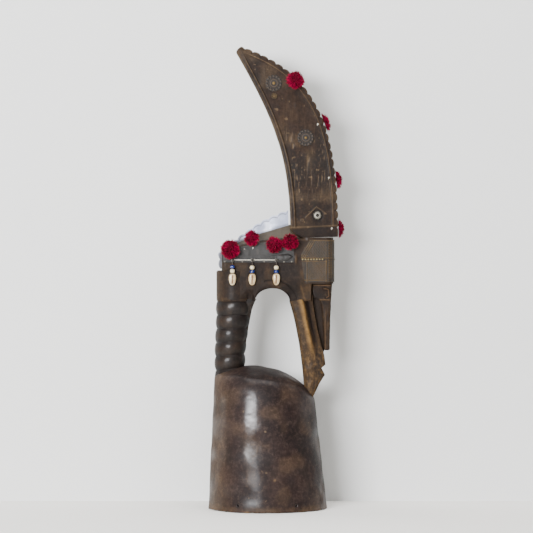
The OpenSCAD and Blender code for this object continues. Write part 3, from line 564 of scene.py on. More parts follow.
# Painted shade darkens the inside of the hood, a ring round each rim hole and a dot for a small hole; the
# noise blotches are dirt.
hood_shade_and_dirt = (0.8 * bead(hole, 1.6) * (y < 0) * is_outer + 0.75 * (1 - is_outer) * ease(z, 6, 40)
              + 0.9 * ease(to_hole, 4.6, 2.8) * is_outer
              + 0.35 * ease(noise(bell * [1, 1, 0.6], 14, 31), 0.25, 0.8) * is_outer)
polish = (np.exp(-((x + 20) / 17) ** 2 - ((z - 211) / 15) ** 2)
          + 0.8 * np.exp(-((x + 31) / 11) ** 2 - ((z - 170) / 24) ** 2)
          + 0.3 * np.exp(-((x + 36) / 22) ** 2 - ((z - 101) / 9) ** 2) + 0.12 + 0.3 * noise(bell, 20, 33))
hood_dull = np.clip(1 - polish, 0, 1)
hood = make_piece("carved_hood", [shell(bell, wear=hood_wear_and_sheen, grime=np.clip(hood_shade_and_dirt, 0, 1),
                                        dull=hood_dull)], hood_wood, "mask", ["hood"])

# %% [markdown]
# The costume is sewn on through six small holes near the rim. A Boolean cut is the quickest way to drill
# them: each drill is a thin closed cylinder made as a grid too, and the result is applied to the mesh.

# %% Drill the rim
def rod(a, b, radius, cols=24):
    """Straight closed rod from a to b, as two rings."""
    a, b = np.array(a, float), np.array(b, float)
    ahead = (b - a) / np.linalg.norm(b - a)
    side = np.cross(ahead, [0, 0, 1] if abs(ahead[2]) < 0.9 else [0, 1, 0])
    side /= np.linalg.norm(side)
    up = np.cross(ahead, side)
    turn = turns(cols)
    ring = radius * (np.cos(turn)[:, None] * side + np.sin(turn)[:, None] * up)
    return shell(np.stack([a + ring, b + ring]))


def cut_away(piece, drills):
    """Cuts the drills out of a piece and keeps the finished mesh."""
    material = piece.data.materials[0]
    tool_piece = make_piece("drills", drills, material, "mask")
    cut = piece.modifiers.new("drill", "BOOLEAN")
    cut.operation, cut.solver, cut.object = "DIFFERENCE", "EXACT", tool_piece
    bpy.context.view_layer.update()
    finished = bpy.data.meshes.new_from_object(piece.evaluated_get(bpy.context.evaluated_depsgraph_get()))
    piece.modifiers.clear()
    piece.data = finished
    piece.data.materials.clear()
    piece.data.materials.append(material)
    bpy.data.objects.remove(tool_piece)
    made.pop("drills")


drills = []
for k in range(HOLE_COUNT):
    turn = math.radians(HOLE_STEP * k)
    drills.append(rod([80 * math.cos(turn), 80 * math.sin(turn), HOLE_Z],
                      [125 * math.cos(turn), 125 * math.sin(turn), HOLE_Z], HOLE_R))
cut_away(hood, drills)

# %% [markdown]
# ## The ringed neck
# Six swollen rings, pinched by narrow grooves. The centre line swings forward as it climbs and the rings
# tilt more towards the foot. A row's height is bent by its tilt, and the radius dips where two rings
# meet: radius = r - depth * (1 - |sin(pi * ring)| ^ 0.55), which keeps the groove tight and the ring full.

# %% Carve the neck
FLOOR_Z, NECK_START, RINGS = 380.0, 232.0, 6
rows, cols = 300, 150
t = np.linspace(-0.02, 1.0, rows)[:, None]
around = turns(cols)
ring_phase = np.abs(np.sin(math.pi * t * RINGS))
radius = 27.75 + 5.75 * t**2 - 3.0 * (1 - ring_phase**0.55)
radius = radius * (1 + 0.012 * np.cos(3 * around + 9 * t) + 0.01 * np.cos(2 * around))
neck_x = -69.5 + 9.0 * t**2 + radius * np.cos(around)
neck_y = radius * np.sin(around)
tilt = np.tan(np.radians(11.0) * np.maximum(1 - t, 0) ** 2)
neck_z = NECK_START + (FLOOR_Z - NECK_START) * t + radius * np.cos(around) * tilt
neck_z = np.minimum(neck_z, FLOOR_Z + 0.4)
neck = np.stack([neck_x, neck_y, neck_z], -1)
out = np.stack([np.cos(around) * np.ones_like(t), np.sin(around) * np.ones_like(t), 0 * neck_x], -1)
neck = neck + out * hand_carved(neck, 0.3, 0.1, 14)[..., None]
# Painted highlight on the ring crests of the lit left side, and painted shade in the grooves between rings;
# the noise term is random rubbing.
crest_highlight = np.broadcast_to(ring_phase**3, neck_x.shape)
neck_highlight_and_wear = 0.30 * crest_highlight * ease(-neck_x, 60, 96) + 0.22 * ease(noise(neck, 14, 3), 0.2, 0.8)
neck_groove_shade = 0.85 * (1 - np.broadcast_to(ring_phase, neck_x.shape) ** 0.35)
strip_z = np.linspace(283, 384, 80)
strip_front = np.interp(strip_z, [283, 300, 320, 333, 350, 365, 373, 380, 384],
                        [-43, -39.8, -37.2, -35.0, -31.6, -28.4, -26.0, -22.6, -20.5])
strip = Slab(np.stack([0 * strip_z - 56, strip_z], 1), np.stack([strip_front, strip_z], 1),
             12 + 12 * ease(strip_z, 340, 384), 8, rounded_loop(20, 14, 6))
strip.raise_by(hand_carved(strip.points, 0.25, 0.1, 15) - 0.1)
make_piece("ringed_neck", [shell(neck, wear=neck_highlight_and_wear, grime=neck_groove_shade),
                           shell(strip.points, wear=0.25 * strip.edge, grime=0 * strip.x)], neck_wood, "mask",
           ["ribbed_neck"])

# %% [markdown]
# ## The head
# Three carved masses that a carver would leave in one: the round collar above the rings, the arched body
# between collar and brow with a gable along its top, and the boxy brow that the brass is wrapped round.
# The arched body is a slab whose lower edge follows the window and whose upper edge follows the saddle.

# %% Carve the head
SEAT_Z, HALF_W, MUZZLE_Z, BROW_X = 497.0, 32.0, 412.5, 121.5
loop = rounded_loop(70, 34, 6)
head_x = np.concatenate([np.linspace(-84, -24, 40), np.linspace(-23.5, 42, 100)[:-1],
                         np.linspace(42, 96, 40)])
arch = np.clip(1 - ((head_x - 9) / 31.5) ** 2, 0, 1)
lower_z = np.where(head_x > 80.5, MUZZLE_Z, FLOOR_Z + 24 * np.sqrt(arch))
upper_z = np.interp(head_x, [-84, -77, -45, -10, 39, 96], [468, 474, 484, 491, 496, 496])
head = Slab(np.stack([head_x, lower_z], 1), np.stack([head_x, upper_z], 1),
            HALF_W * (1 - 0.25 * (ease(head_x, -78, -84) ** 2)), 7.0, loop)
ridge = np.interp(head_x, [-66, -58, 41, 62], [0, 6, 25, 0])[:, None]
gable = ridge * np.clip(1 - np.abs(head.y) / 26, 0, 1) * (head.facing > 0.7)
head.raise_by(hand_carved(head.points, 0.3, 0.12, 40) - 0.25)
head.points[..., 2] += gable
hx, hz = head.x, head.z
head.points[..., 1] *= 1 - 0.37 * ease(hz, 430, 383) * ease(hx, 20, 48) * (hx < 100)
circle = np.sqrt(np.maximum(33.2**2 - (hx + 60.5) ** 2, 0))
limit = np.where((hz < 437) & (hx < -60.5), circle, 40)
near_neck = ease(hx, -22, -28) * ease(hz, 420, 384)
limit = np.where(hx > -60.5, 40 * (1 - near_neck) + np.maximum(circle, 22) * near_neck, limit)
head.points[..., 1] = np.clip(head.points[..., 1], -limit, limit)
window = np.hypot((hx - 9) / 31.5, (hz - 380) / 24.0)
moulding = np.where(head.side > 0.9, 1, 0) * (hx > -6) * (hx < 80)
groove = bead((np.hypot((hx - 9) / 46, (hz - 378) / 41) - 1) * 42, 1.3) * moulding
head.raise_by(-1.3 * groove - 1.6 * ease(window, 1.35, 1.0) * moulding)
stub = bead((hx - 52) / 1.9, 1) * bead((hz - 457) / 6.2, 1) * (head.side > 0.9)
head.raise_by(1.6 * stub)
# Painted light: the up-facing gable roof is paled, as if lit from above.
roof_painted_light = 0.62 * ease(gable, 0.5, 2.0) * ease(hx, -62, -40)
# Painted highlight: a light line along the ridge over the jaw, with no relief under it.
head_ridge_highlight = bead(to_segment(hx, hz, (69.4, 381), (61, 408)), 1.8) * (head.side > 0.5)
head_wear_and_highlight = (0.30 * head.edge * (hz > 420) + 0.5 * head_ridge_highlight
             + 0.3 * ease(noise(head.points, 16, 8), 0.15, 0.7) + stub + 0.35 * ease(hx, 48, 76) * (hz < 450))
# Painted shade in the carved groove round the window and under the head where it meets the neck.
head_groove_shade = np.clip(0.8 * groove + 0.4 * ease(hx, -35, -10) * ease(hx, 6, -10) * (hz < 430), 0, 1)
collar_t = np.linspace(0, 1, 60)[:, None]
collar_r = 33.5 - 2.4 * ease(collar_t, 0.955, 1.0) - 1.2 * bead(collar_t, 0.03) + 0 * around
collar = np.stack([-60.5 + collar_r * np.cos(around), collar_r * np.sin(around),
                   FLOOR_Z + 57 * collar_t + 0 * around], -1)
collar_out = np.stack([np.cos(around) + 0 * collar_t, np.sin(around) + 0 * collar_t, 0 * collar_r], -1)
collar = collar + collar_out * (hand_carved(collar, 0.3, 0.08, 44) - 0.1)[..., None]
# Painted sheen on the lit left side of the collar, with random rubbing.
collar_sheen_and_wear = 0.45 * ease(-collar[..., 0], 70, 95) + 0.3 * ease(noise(collar, 12, 9), 0.1, 0.7)
block_z = np.linspace(MUZZLE_Z, SEAT_Z, 60)
A, B, C, S = rounded_loop(30, 26, 10)
wx, wy, r = (BROW_X - 60) / 2 - 0.6, HALF_W - 0.6, 14.0
plan = np.stack([60 + wx + A * (wx - r) + C * r, B * (wy - r) + S * r], -1)
swell = 0.5 * np.sin(math.pi * (block_z - MUZZLE_Z) / (SEAT_Z - MUZZLE_Z))[:, None]
block = np.stack([plan[:, 0] + C * swell, plan[:, 1] + S * swell, block_z[:, None] + 0 * A], -1)
make_piece("carved_head", [
    shell(head.points, wear=np.clip(head_wear_and_highlight * (1 - roof_painted_light), 0, 1), grime=head_groove_shade, pale=roof_painted_light),
    shell(collar, wear=collar_sheen_and_wear, grime=0 * collar_sheen_and_wear),
    shell(block, wear=0.2 + 0 * block[..., 0], grime=0.1 + 0 * block[..., 0])],
    head_wood, "mask", ["head_block"])

# %% [markdown]
# ## The jaws
# The lower jaw is a strut from the head down to the crown. A ridge runs down its side, with a painted
# highlight along it; in front of the ridge the wood is hollowed away to a thin web that fills the mouth,
# and the hollow and the web are darkened as painted shade. Two teeth are cut near the foot. The upper jaw
# hangs beside it and ends short, with a hooked nostril line.

# %% Carve the lower jaw
FOOT_X, FOOT_Z, JAW_RUN = 82.0, 201.8, 178.2
jaw_z = np.linspace(392, 199, 230)
back_line = bezier([40, 380], [54, FOOT_Z + 0.75 * JAW_RUN], [66, FOOT_Z + 0.35 * JAW_RUN],
                   [69, FOOT_Z - 0.1 * JAW_RUN], np.linspace(0, 1, 60))
back_x = np.interp(-jaw_z, -back_line[:, 1], back_line[:, 0])
front_s = np.array([0, 0.15, 0.245, 0.315, 0.35, 0.45, 0.55, 0.74, 1.0])
front_x = FOOT_X + np.array([0, 13, 23.5, 17, 24.5, 22, 17, 9, 1.5])
edge_x = np.interp(jaw_z, FOOT_Z + front_s * JAW_RUN, front_x)
jaw = Slab(np.stack([back_x, jaw_z], 1), np.stack([edge_x, jaw_z], 1), 20.0, 6.0, rounded_loop(44, 14, 6))
share = jaw.from_back / (jaw.from_back + jaw.from_front)
face = (jaw.side > 0.5)
hollow = ease(share, 0.52, 0.80) * ease(jaw.z, 262, 330) * 9.0
slope = (0.45 - share) * 6.0 * (share < 0.45) + 1.5 * (share > 0.45) * (share - 0.45)
jaw.raise_by(face * (-hollow - np.clip(slope, 0, 3)) + hand_carved(jaw.points, 0.4, 0.16, 60) - 0.2)
# Painted highlight: a light line along the ridge, in the rubbed colour.
jaw_ridge_highlight = bead(share - 0.50, 0.10) * ease(jaw.z, 268, 320) * face
notch_marks = ease(noise(jaw.points * [1, 1, 0.5], 2.6, 62), 0.0, 0.8)
jaw_wear_and_highlight = np.clip(0.85 * jaw_ridge_highlight + 0.10 * (share < 0.6) * face + 0.30 * notch_marks * ease(jaw.z, 340, 250)
                   + 0.10 * jaw.edge, 0, 1)
# Painted shade darkens the hollow in front of the ridge; the noise blotches are dirt.
jaw_hollow_shade_and_dirt = np.clip(0.9 * ease(share, 0.60, 0.78) * ease(jaw.z, 285, 330) * face
                    + 0.5 * ease(noise(jaw.points, 6, 64), 0.35, 0.9), 0, 1)
web_z = np.linspace(402, 284, 60)
web_front = np.interp(web_z, [284, 292, 337, 373.6, 384, 390, 402], [102.2, 105, 104, 101, 97, 90, 83])
web_back = np.where(web_z > 378, 74, 80)
web = Slab(np.stack([web_back, web_z], 1), np.stack([web_front, web_z], 1), 6.4, 2.5,
           rounded_loop(20, 8, 4))
web.raise_by(hand_carved(web.points, 0.2, 0.1, 66) - 0.2)
make_piece("carved_lower_jaw", [
    shell(jaw.points, wear=jaw_wear_and_highlight, grime=jaw_hollow_shade_and_dirt),
    # Painted shade: the web that fills the mouth is darkened all over.
    shell(web.points, wear=0.1 + 0 * web.x, grime=0.75 + 0 * web.x)],
    jaw_wood, "mask", ["lower_jaw"])

# %% Carve the upper jaw
muzzle_z = np.linspace(MUZZLE_Z + 0.5, 292, 150)
muzzle_back = np.interp(muzzle_z, [291, 337, 373, 384, 387, 398, 413],
                        [103.5, 102, 98.5, 93.5, 84.2, 80.7, 80.7])
muzzle_front = np.interp(muzzle_z, [291, 351, 405, 413], [114.4, 115.4, 118.0, 118.4])
half = np.interp(muzzle_z, [291, 340, 390, 413], [12, 14.5, 17.6, 17.8])
back, front, half = round_off(np.stack([muzzle_back, muzzle_z], 1), np.stack([muzzle_front, muzzle_z], 1),
                              half, 2.0, 6)
muzzle = Slab(back, front, half, 4.5, rounded_loop(40, 14, 6))
mx, mz = muzzle.x, muzzle.z
face = muzzle.side > 0.8
hook = np.minimum.reduce([to_segment(mx, mz, (104, 404), (111.5, 402)),
                          to_segment(mx, mz, (111.5, 402), (112.5, 390)),
                          to_segment(mx, mz, (112.5, 390), (108.5, 387))])
lip = bead(mz - 383, 1.3) * (mx > 90) + bead(mz - 409.5, 1.0)
vein = bead(mx - (106 + 0.02 * (mz - 330)), 1.6) * ease(mz, 372, 350)
muzzle.raise_by(face * (0.9 * bead(hook, 1.1) - 0.8 * bead(hook - 2.2, 1.0) + 0.7 * lip + 0.6 * vein)
                + hand_carved(muzzle.points, 0.35, 0.15, 70) - 0.2)
muzzle_wear = np.clip(0.8 * face * (bead(hook, 0.9) + lip + 0.55 * vein) + 0.12 * muzzle.edge
                      + 0.4 * ease(noise(muzzle.points * [1, 1, 0.4], 5, 72), 0.25, 0.8) * ease(mz, 375, 330),
                      0, 1)
# Painted shade in the groove beside the hooked nostril line and at the back top, where the muzzle meets the
# head.
muzzle_shade = np.clip(0.7 * bead(hook - 2.4, 1.0) * face + 0.6 * ease(mx, 97, 86) * ease(mz, 402, 392), 0, 1)
make_piece("carved_upper_jaw", [shell(muzzle.points, wear=muzzle_wear, grime=muzzle_shade)], muzzle_wood,
           "mask", ["upper_jaw"])

# %% [markdown]
# ## The horn
# A tall blade with a hollow back edge and a full front edge. The front edge is scalloped, and the notch
# between two scallops is filed a few millimetres on to the faces. A raised line follows each edge about
# 9 mm in, and the panel between the lines is sunk. At the foot are a raised line, a plain band and two
# cut lines like a brow over the eye. Each of these is a height added to the slab's faces.

# %% Carve the horn
HORN_H, SCALLOP, PITCH = 350.0, 2.4, 16.0
FOOT_HALF, THINNING = 17.0, 6.0
band_z = np.array([497.3, 499, 501.5, 504.5, 508, 511])
band_back = np.stack([[62, 57, 52, 47.5, 44.2, 42.6], band_z], 1)
band_front = np.stack([[129, 129.2, 129.3, 129.4, 129.5, 129.5], [498.6, 500.4, 503, 506.5, 510, 513]], 1)
u = np.linspace(0, 1, 270)
back_edge = bezier([42, 513], [40, SEAT_Z + 0.409 * HORN_H], [18, SEAT_Z + 0.594 * HORN_H], [-57, 836], u)
front_edge = bezier([127.6, 515], [126, SEAT_Z + 0.58 * HORN_H], [90, SEAT_Z + 0.866 * HORN_H], [-47, 845], u)
step = np.diff(front_edge, axis=0, prepend=front_edge[:1])
run = np.cumsum(np.linalg.norm(step, axis=1))
tangent = np.gradient(front_edge, axis=0)
tangent /= np.linalg.norm(tangent, axis=1)[:, None]
bumps = SCALLOP * np.abs(np.sin(math.pi * run / PITCH)) ** 0.8
front_edge = front_edge + np.stack([tangent[:, 1], -tangent[:, 0]], 1) * bumps[:, None]
back = np.concatenate([band_back, back_edge])
front = np.concatenate([band_front, front_edge])
run = np.concatenate([np.zeros(len(band_z)), run])
horn_half = FOOT_HALF - THINNING * (0.5 * (back + front)[:, 1] - SEAT_Z) / HORN_H
back, front, horn_half = round_off(back, front, horn_half - 0.2, 3.5, 7)
run = np.append(run, np.full(7, run[-1]))[:, None]
horn = Slab(back, front, horn_half, 3.5, rounded_loop(84, 14, 5))
hx, hz, face = horn.x, horn.z, horn.side > 0.9
in_blade = ease(hz - 0.045 * (hx - 42), 514, 517)
near_tip = ease(run, run.max() - 30, run.max() - 6)
valley = np.abs((run / PITCH + 0.5) % 1 - 0.5) * PITCH
notch = bead(valley, 0.9) * ease(horn.from_front, 6.0, 4.0) * in_blade * (run > 6)
line_back = bead(horn.from_back - (8.5 + 2.5 * near_tip), 0.75)
smooth_front = horn.from_front - np.concatenate([0 * band_z, bumps, bumps[-1] + np.zeros(7)])[:, None]
line_front = bead(smooth_front - 7.4, 0.75)
lines = np.maximum(line_back, line_front) * face * in_blade * (1 - near_tip)
panel = ease(horn.from_back, 9.5, 11) * ease(smooth_front, 8.4, 9.9) * face * in_blade * (1 - near_tip)
foot_line = bead(hz - (515.2 + 0.045 * (hx - 42)), 1.3) * (horn.edge < 0.99)
brow = np.minimum(to_segment(hx, hz, (70, 534.5), (89.7, 553.4)),
                  to_segment(hx, hz, (89.7, 553.4), (107, 541)))
brow_line = bead(brow, 0.75) * face
stud = bead(np.hypot(hx - 63.5, hz - 529) - 2.4, 0.7) * face
socket = ease(np.hypot(hx - 91.5, hz - 537.5), 13, 8.4) * face
pitted = noise(horn.points * [1, 1, 0.16], 1.9, 81)
scratch = ease(pitted, 0.35, 0.75) * panel * ease(hz, 560, 600) * ease(hz, 715, 660)
horn.raise_by(0.75 * lines - 0.9 * panel - 1.1 * notch + 1.1 * foot_line + 0.7 * brow_line + 0.5 * stud
              - 0.3 * socket - 0.25 * scratch + hand_carved(horn.points, 0.30, 0.12, 80) - 0.1)
specks = ease(noise(horn.points, 4.5, 83), 0.72, 0.8) * panel
horn_wear = np.clip(0.62 * lines + 0.55 * foot_line + 0.75 * brow_line + 0.6 * stud + 0.38 * horn.edge
                    + 0.5 * scratch + 0.7 * specks + 0.25 * ease(noise(horn.points, 26, 84), 0.1, 0.7)
                    + 0.25 * near_tip, 0, 1)
# Painted shade in the notches, the sunk socket round the eye, along the step into the sunk panel and at the
# foot under the band; the pits in the panel are dirt.
horn_shade_and_pits = np.clip(0.85 * notch + 0.75 * socket * (1 - brow_line) + 0.35 * ease(pitted, -0.2, -0.7) * panel
                     + 0.5 * bead(horn.from_back - 10.6, 0.9) * face * in_blade
                     + 0.5 * ease(hz - 0.045 * (hx - 42), 513.5, 511) * face, 0, 1)
make_piece("carved_horn", [shell(horn.points, wear=horn_wear, grime=horn_shade_and_pits)], horn_wood, "mask",
           ["horn"])

# %% [markdown]
# ## The tin crest
# Thin bright sheet stands in a saw kerf along the ridge. Its upper edge was cut in scallops, and a line
# was pressed a few millimetres inside the edge to stiffen it. It has been bent and straightened often, so
# broad dents and sharp little creases run over it. The grid runs along the ridge and round the section.

# %% Cut and crumple the crest
crest_path = np.concatenate([
    [[-87, 440], [-88, 467]],
    bezier([-63, 487], [-30, 515], [-6, 530], [39, 546], np.linspace(0, 1, 60))])
crest_run = np.append(0, np.cumsum(np.linalg.norm(np.diff(crest_path, axis=0), axis=1)))
s = np.linspace(0, crest_run[-1], 300)
top = np.stack([np.interp(s, crest_run, crest_path[:, 0]), np.interp(s, crest_run, crest_path[:, 1])], 1)
slope = np.gradient(top, axis=0)
slope /= np.linalg.norm(slope, axis=1)[:, None]
lobe = np.abs(np.sin(math.pi * s / 17.2))
edge = top + np.stack([-slope[:, 1], slope[:, 0]], 1) * (3.1 * lobe**0.8 - 0.2)[:, None]
foot = np.stack([np.interp(s, [0, 26, 56, crest_run[-1]], [-77.8, -77.8, -55, 38.5]),
                 np.interp(s, [0, 26, 56, crest_run[-1]], [440, 463.5, 480.5, 512.5])], 1)
crest = Slab(foot, edge, 0.62, 0.5, rounded_loop(60, 4, 2))
cx = crest.x
inset = crest.from_front - 3.4 - 1.2 * (1 - lobe[:, None])
outline = bead(inset, 0.7)
dents = (0.50 * noise(crest.points * [1, 0, 1], 20, 90)
         + 0.16 * (1 - 2 * np.abs(noise(crest.points * [1, 0, 1], 11, 91))))
crest.points[..., 1] += np.clip(dents, -0.9, 0.9) * ease(crest.from_back, 8, 14)
crest.raise_by(-0.25 * outline)
# Painted shade along the pressed line, on the dents pushed one way and where the sheet leaves the ridge; the
# left end is darker with tarnish.
crest_shade_and_tarnish = np.clip(0.75 * outline + 0.22 * ease(-dents, 0.1, 0.7) + 0.55 * ease(cx, -36, -52)
                     + 0.5 * bead(crest.from_back - 9, 2.5), 0, 0.9)
# Painted glint on the dents pushed the other way, on the right part; the cut edge is bright metal.
crest_glint_and_cut_edge = np.clip(ease(dents, 0.05, 0.5) * ease(cx, -70, -40) + 0.4 * bead(crest.from_front, 1.0), 0, 1)
make_piece("tin_crest", [shell(crest.points, wear=crest_glint_and_cut_edge, grime=crest_shade_and_tarnish)], tin_painted_reflection, "mask",
           ["crest_sheet"])

# %% [markdown]
# ## The saddle
# A dark iron sheet covers each side of the nape. Its grid runs along the sheet: the lower edge is level,
# the upper edge follows the roof. Dents and a raised line inside both edges show that it was hammered in
# place. A dark bolster, round in section, lies along the front half of each sheet.

# %% Hammer the saddle plates
SIDES = {"near": -1, "far": 1}
PLATE_FACE_Y = 33.2
plate_x = np.linspace(-81.6, 47.8, 210)
plate_top = np.interp(plate_x, [-82, -70, -45, -10, 39, 48], [468, 472, 481, 488, 493, 493])
roll_x = np.linspace(-22, 46, 120)
for side_name, side in SIDES.items():
    flat = Slab(np.stack([plate_x, 0 * plate_x + 451.3], 1), np.stack([plate_x, plate_top], 1), 0.55, 0.4,
                rounded_loop(64, 4, 2))
    flat.points[..., 1] += side * (32.65 + 0.1)
    p = flat.points
    hammered = 0.35 * noise(p, 9, 95 + side) + 0.2 * noise(p, 3.5, 96)
    rim_line = bead(flat.from_back - 2.6, 0.8) + bead(flat.from_front - 2.4, 0.8)
    flat.points[..., 1] += side * np.maximum(hammered * 0.6 + 0.4 * rim_line + 0.15, 0)
    torn = np.hypot(p[..., 0] + 26, (p[..., 2] - 480) * 1.3)
    plate_grime = np.clip(0.9 * bead(torn, 2.4) + 0.35 * ease(noise(p, 11, 97), 0.2, 0.8), 0, 1)
    plate_wear = np.clip(0.35 * rim_line + 0.5 * ease(noise(p, 6, 98), 0.15, 0.8), 0, 1)
    roll_turn = turns(28)
    roll_ends = ease(roll_x, -25, -12) * ease(roll_x, 48, 36)
    thick = ((2.6 + 4.0 * ease(roll_x, -22, 30)) * roll_ends)[:, None] + 0.2
    roll_z = (458 + 3.0 * ease(roll_x, 4, 40) + 0.8 * np.sin(roll_x / 6))[:, None]
    depth = np.interp(roll_x, [-22, -8, 18, 24, 44, 46], [0.3, 0.7, 0.9, 2.4, 2.8, 0.8])[:, None]
    roll = np.stack([roll_x[:, None] + 0 * thick * roll_turn,
                     side * (PLATE_FACE_Y + depth * np.sin(roll_turn)),
                     roll_z + thick * np.cos(roll_turn)], -1)
    stitch = ease(noise(roll * [1, 0.4, 0.4], 2.6, 99), -0.2, 0.6)
    roll[..., 1] += side * 0.25 * stitch * np.maximum(np.sin(roll_turn), 0)
    make_piece("saddle_" + side_name, [
        shell(flat.points, wear=plate_wear, grime=plate_grime),
        shell(roll, wear=0.25 * stitch, grime=0.45 + 0 * stitch)], tarnished_iron, "mask",
        ["saddle_plate_" + side_name])

# %% [markdown]
# ## The brass sheets
# Two sheets of brass are wrapped round the brow and worked from behind: three ridges side by side along
# the slanting edge, zigzags in the fields, and a double row of dots down the front corner. We lay a
# pattern out flat, along the way round (u) and up (z), and lift the surface by it. Since the outline of
# the sheet slants, each row starts at its own place on the way round.

# %% Emboss the brass
BROW_R, BROW_BACK_X, SEAM_Z = 14.0, 60, 457
FLAT_X = BROW_X - BROW_R


def round_the_brow(u):
    """Place and facing at a length u round the brow, counted from X = 60 on the near side: straight to the
    first corner, a quarter circle, across the front, a quarter circle, straight back."""
    straight, quarter, across = FLAT_X - BROW_BACK_X, BROW_R * math.pi / 2, 2 * (HALF_W - BROW_R)
    edges = np.cumsum([straight, quarter, across, quarter])
    first = np.clip((u - edges[0]) / BROW_R, 0, math.pi / 2)
    second = np.clip((u - edges[2]) / BROW_R, 0, math.pi / 2)
    turn = first + second - math.pi / 2
    cx = FLAT_X + 0 * u
    cy = -(HALF_W - BROW_R) + np.clip(u - edges[1], 0, across)
    x = cx + BROW_R * np.cos(turn) - np.maximum(edges[0] - u, 0) - np.maximum(u - edges[3], 0)
    y = cy + BROW_R * np.sin(turn)
    return x, y, turn


def embossed(low_z, high_z, left_x, pattern_of, name, node, seed):
    """A sheet between two heights whose side edges start at left_x(z); pattern_of(x, z) is its relief."""
    z = np.linspace(low_z, high_z, 110)[:, None]
    total = 2 * (FLAT_X - BROW_BACK_X) + BROW_R * math.pi + 2 * (HALF_W - BROW_R)
    start = left_x(z) - BROW_BACK_X
    share = np.linspace(0, 1, 420)
    u = start + (total - 2 * start) * share
    x, y, turn = round_the_brow(u)
    fold = np.minimum(u, total - u)
    lift = pattern_of(BROW_BACK_X + fold, z + 0 * u, np.abs(y))
    dent = 0.22 * noise(np.stack([u, 0 * u, z + 0 * u], -1), 5, seed)
    height = np.clip(0.45 + 0.6 * lift + dent, 0.15, 1.3)
    outer = np.stack([x + height * np.cos(turn), y + height * np.sin(turn), z + 0 * u], -1)
    inner = np.stack([x - 0.3 * np.cos(turn), y - 0.3 * np.sin(turn), z + 0 * u], -1)
    sheet = np.concatenate([outer, inner[:, ::-1]], 1)
    blotch = noise(np.stack([u, 0 * u, z + 0 * u], -1), 7, seed + 5)
    wear = np.concatenate([np.clip((0.75 + 0.5 * blotch) * lift + 0.25 * dent, 0, 1), 0 * lift], 1)
    hollow = np.clip(0.30 - 0.6 * lift + 0.35 * blotch, 0, 0.6)
    make_piece(name, [shell(sheet, wear=wear, grime=np.concatenate([hollow, hollow * 0 + 1], 1))],
               embossed_brass, "mask", [node])


def corner_dots(x, z):
    """Two columns of raised dots, 4.4 mm apart, down the front corner."""
    return bead(np.hypot(np.minimum(np.abs(x - 112.5), np.abs(x - 117)), (z % 4.4) - 2.2), 1.2) * (x > 108)


def brow_pattern(x, z, y):
    """Three ridges along the slant, a field of chevrons, dots at the front corner, lines top and foot."""
    slant = to_segment(x, z, (61, 466), (78, 495))
    ridges = sum(bead(slant - d, 0.75) for d in (2.6, 5.8, 9.0))
    field = (slant > 11.5) * (x < 109)
    chevron = np.abs((x + 0.9 * np.abs((z - 457) % 6.4 - 3.2)) % 4.6 - 2.3)
    lines = bead(z - 459.5, 0.6) + bead(z - 491.3, 0.6)
    across = ((x >= 121) * bead((np.hypot(y, z - 474) % 6.5) - 3, 0.8)) * 0.8
    return np.clip(ridges + 0.55 * bead(chevron, 0.6) * field + corner_dots(x, z) + lines + across, 0, 1)


def muzzle_pattern(x, z, y):
    """An outlined panel filled with rows of ringed dots, and dots at the front corner."""
    frame_line = np.minimum.reduce([np.abs(z - 419), np.abs(z - 453.5), np.abs(x - 72), np.abs(x - 107)])
    inside = (x > 73.5) * (x < 105.5) * (z > 420.5) * (z < 452)
    cell = np.hypot((x + 3.1 * ((z // 5.4) % 2)) % 6.2 - 3.1, z % 5.4 - 2.7)
    hatch = 0.5 * bead(cell - 1.9, 0.55) + 0.4 * bead(cell, 0.6)
    across = (x >= 121) * bead(((y + np.abs(z - 436)) % 7) - 3.5, 0.8) * 0.8
    return np.clip(bead(frame_line, 0.7) * (x < 109) + inside * hatch + corner_dots(x, z) + across, 0, 1)


embossed(457.25, 492.9, lambda z: np.interp(z, [457, 467, 493], [61.2, 61.2, 77]), brow_pattern, "brow_sheet",
         "brow_brass", 101)
embossed(415.6, 456.75, lambda z: np.interp(z, [415.5, 457], [68, 61.6]), muzzle_pattern, "muzzle_sheet",
         "muzzle_brass", 102)

# %% [markdown]
# ## Discs and bosses on the horn's faces
# The horn thins upwards, so its faces lean. One function gives a frame on a face: a centre, a direction
# across, a direction up the face and the way out of it. A disc is then a grid in rings and spokes whose
# height is a formula in radius and angle.

# %% Rosettes and eyes
SIDE_LEAN = math.atan(THINNING / HORN_H)


def on_face(at, side, local):
    """Carries points (across, up, out) on to the horn's face at (X, Z)."""
    c, s = math.cos(SIDE_LEAN), math.sin(SIDE_LEAN)
    half = FOOT_HALF - THINNING * (at[1] - SEAT_Z) / (HORN_H + 1)
    across, up, out = local[..., 0], local[..., 1], local[..., 2]
    return np.stack([at[0] + across, side * (half - up * s + out * c), at[1] + up * c + out * s], -1)


def disc(at, side, radius_of, height_of, grime_of, back=0.02, rings=34, spokes=168, hole=0.55):
    """Closed disc: rings from a small hole out to the edge, over the front, then back behind."""
    turn = turns(spokes)
    share = np.linspace(0, 1, rings)[:, None]
    r = hole + (radius_of(turn) - hole) * share
    h = height_of(r, turn)
    front = np.stack([r * np.cos(turn), r * np.sin(turn), h], -1)
    rear = np.stack([r * np.cos(turn), r * np.sin(turn), back + 0 * h], -1)[::-1]
    local = np.concatenate([front, rear])
    g = grime_of(r, turn)
    marks = {k: np.concatenate([v, v[::-1] * 0]) for k, v in g.items()}
    return shell(on_face(at, side, local), ring=True, **marks)


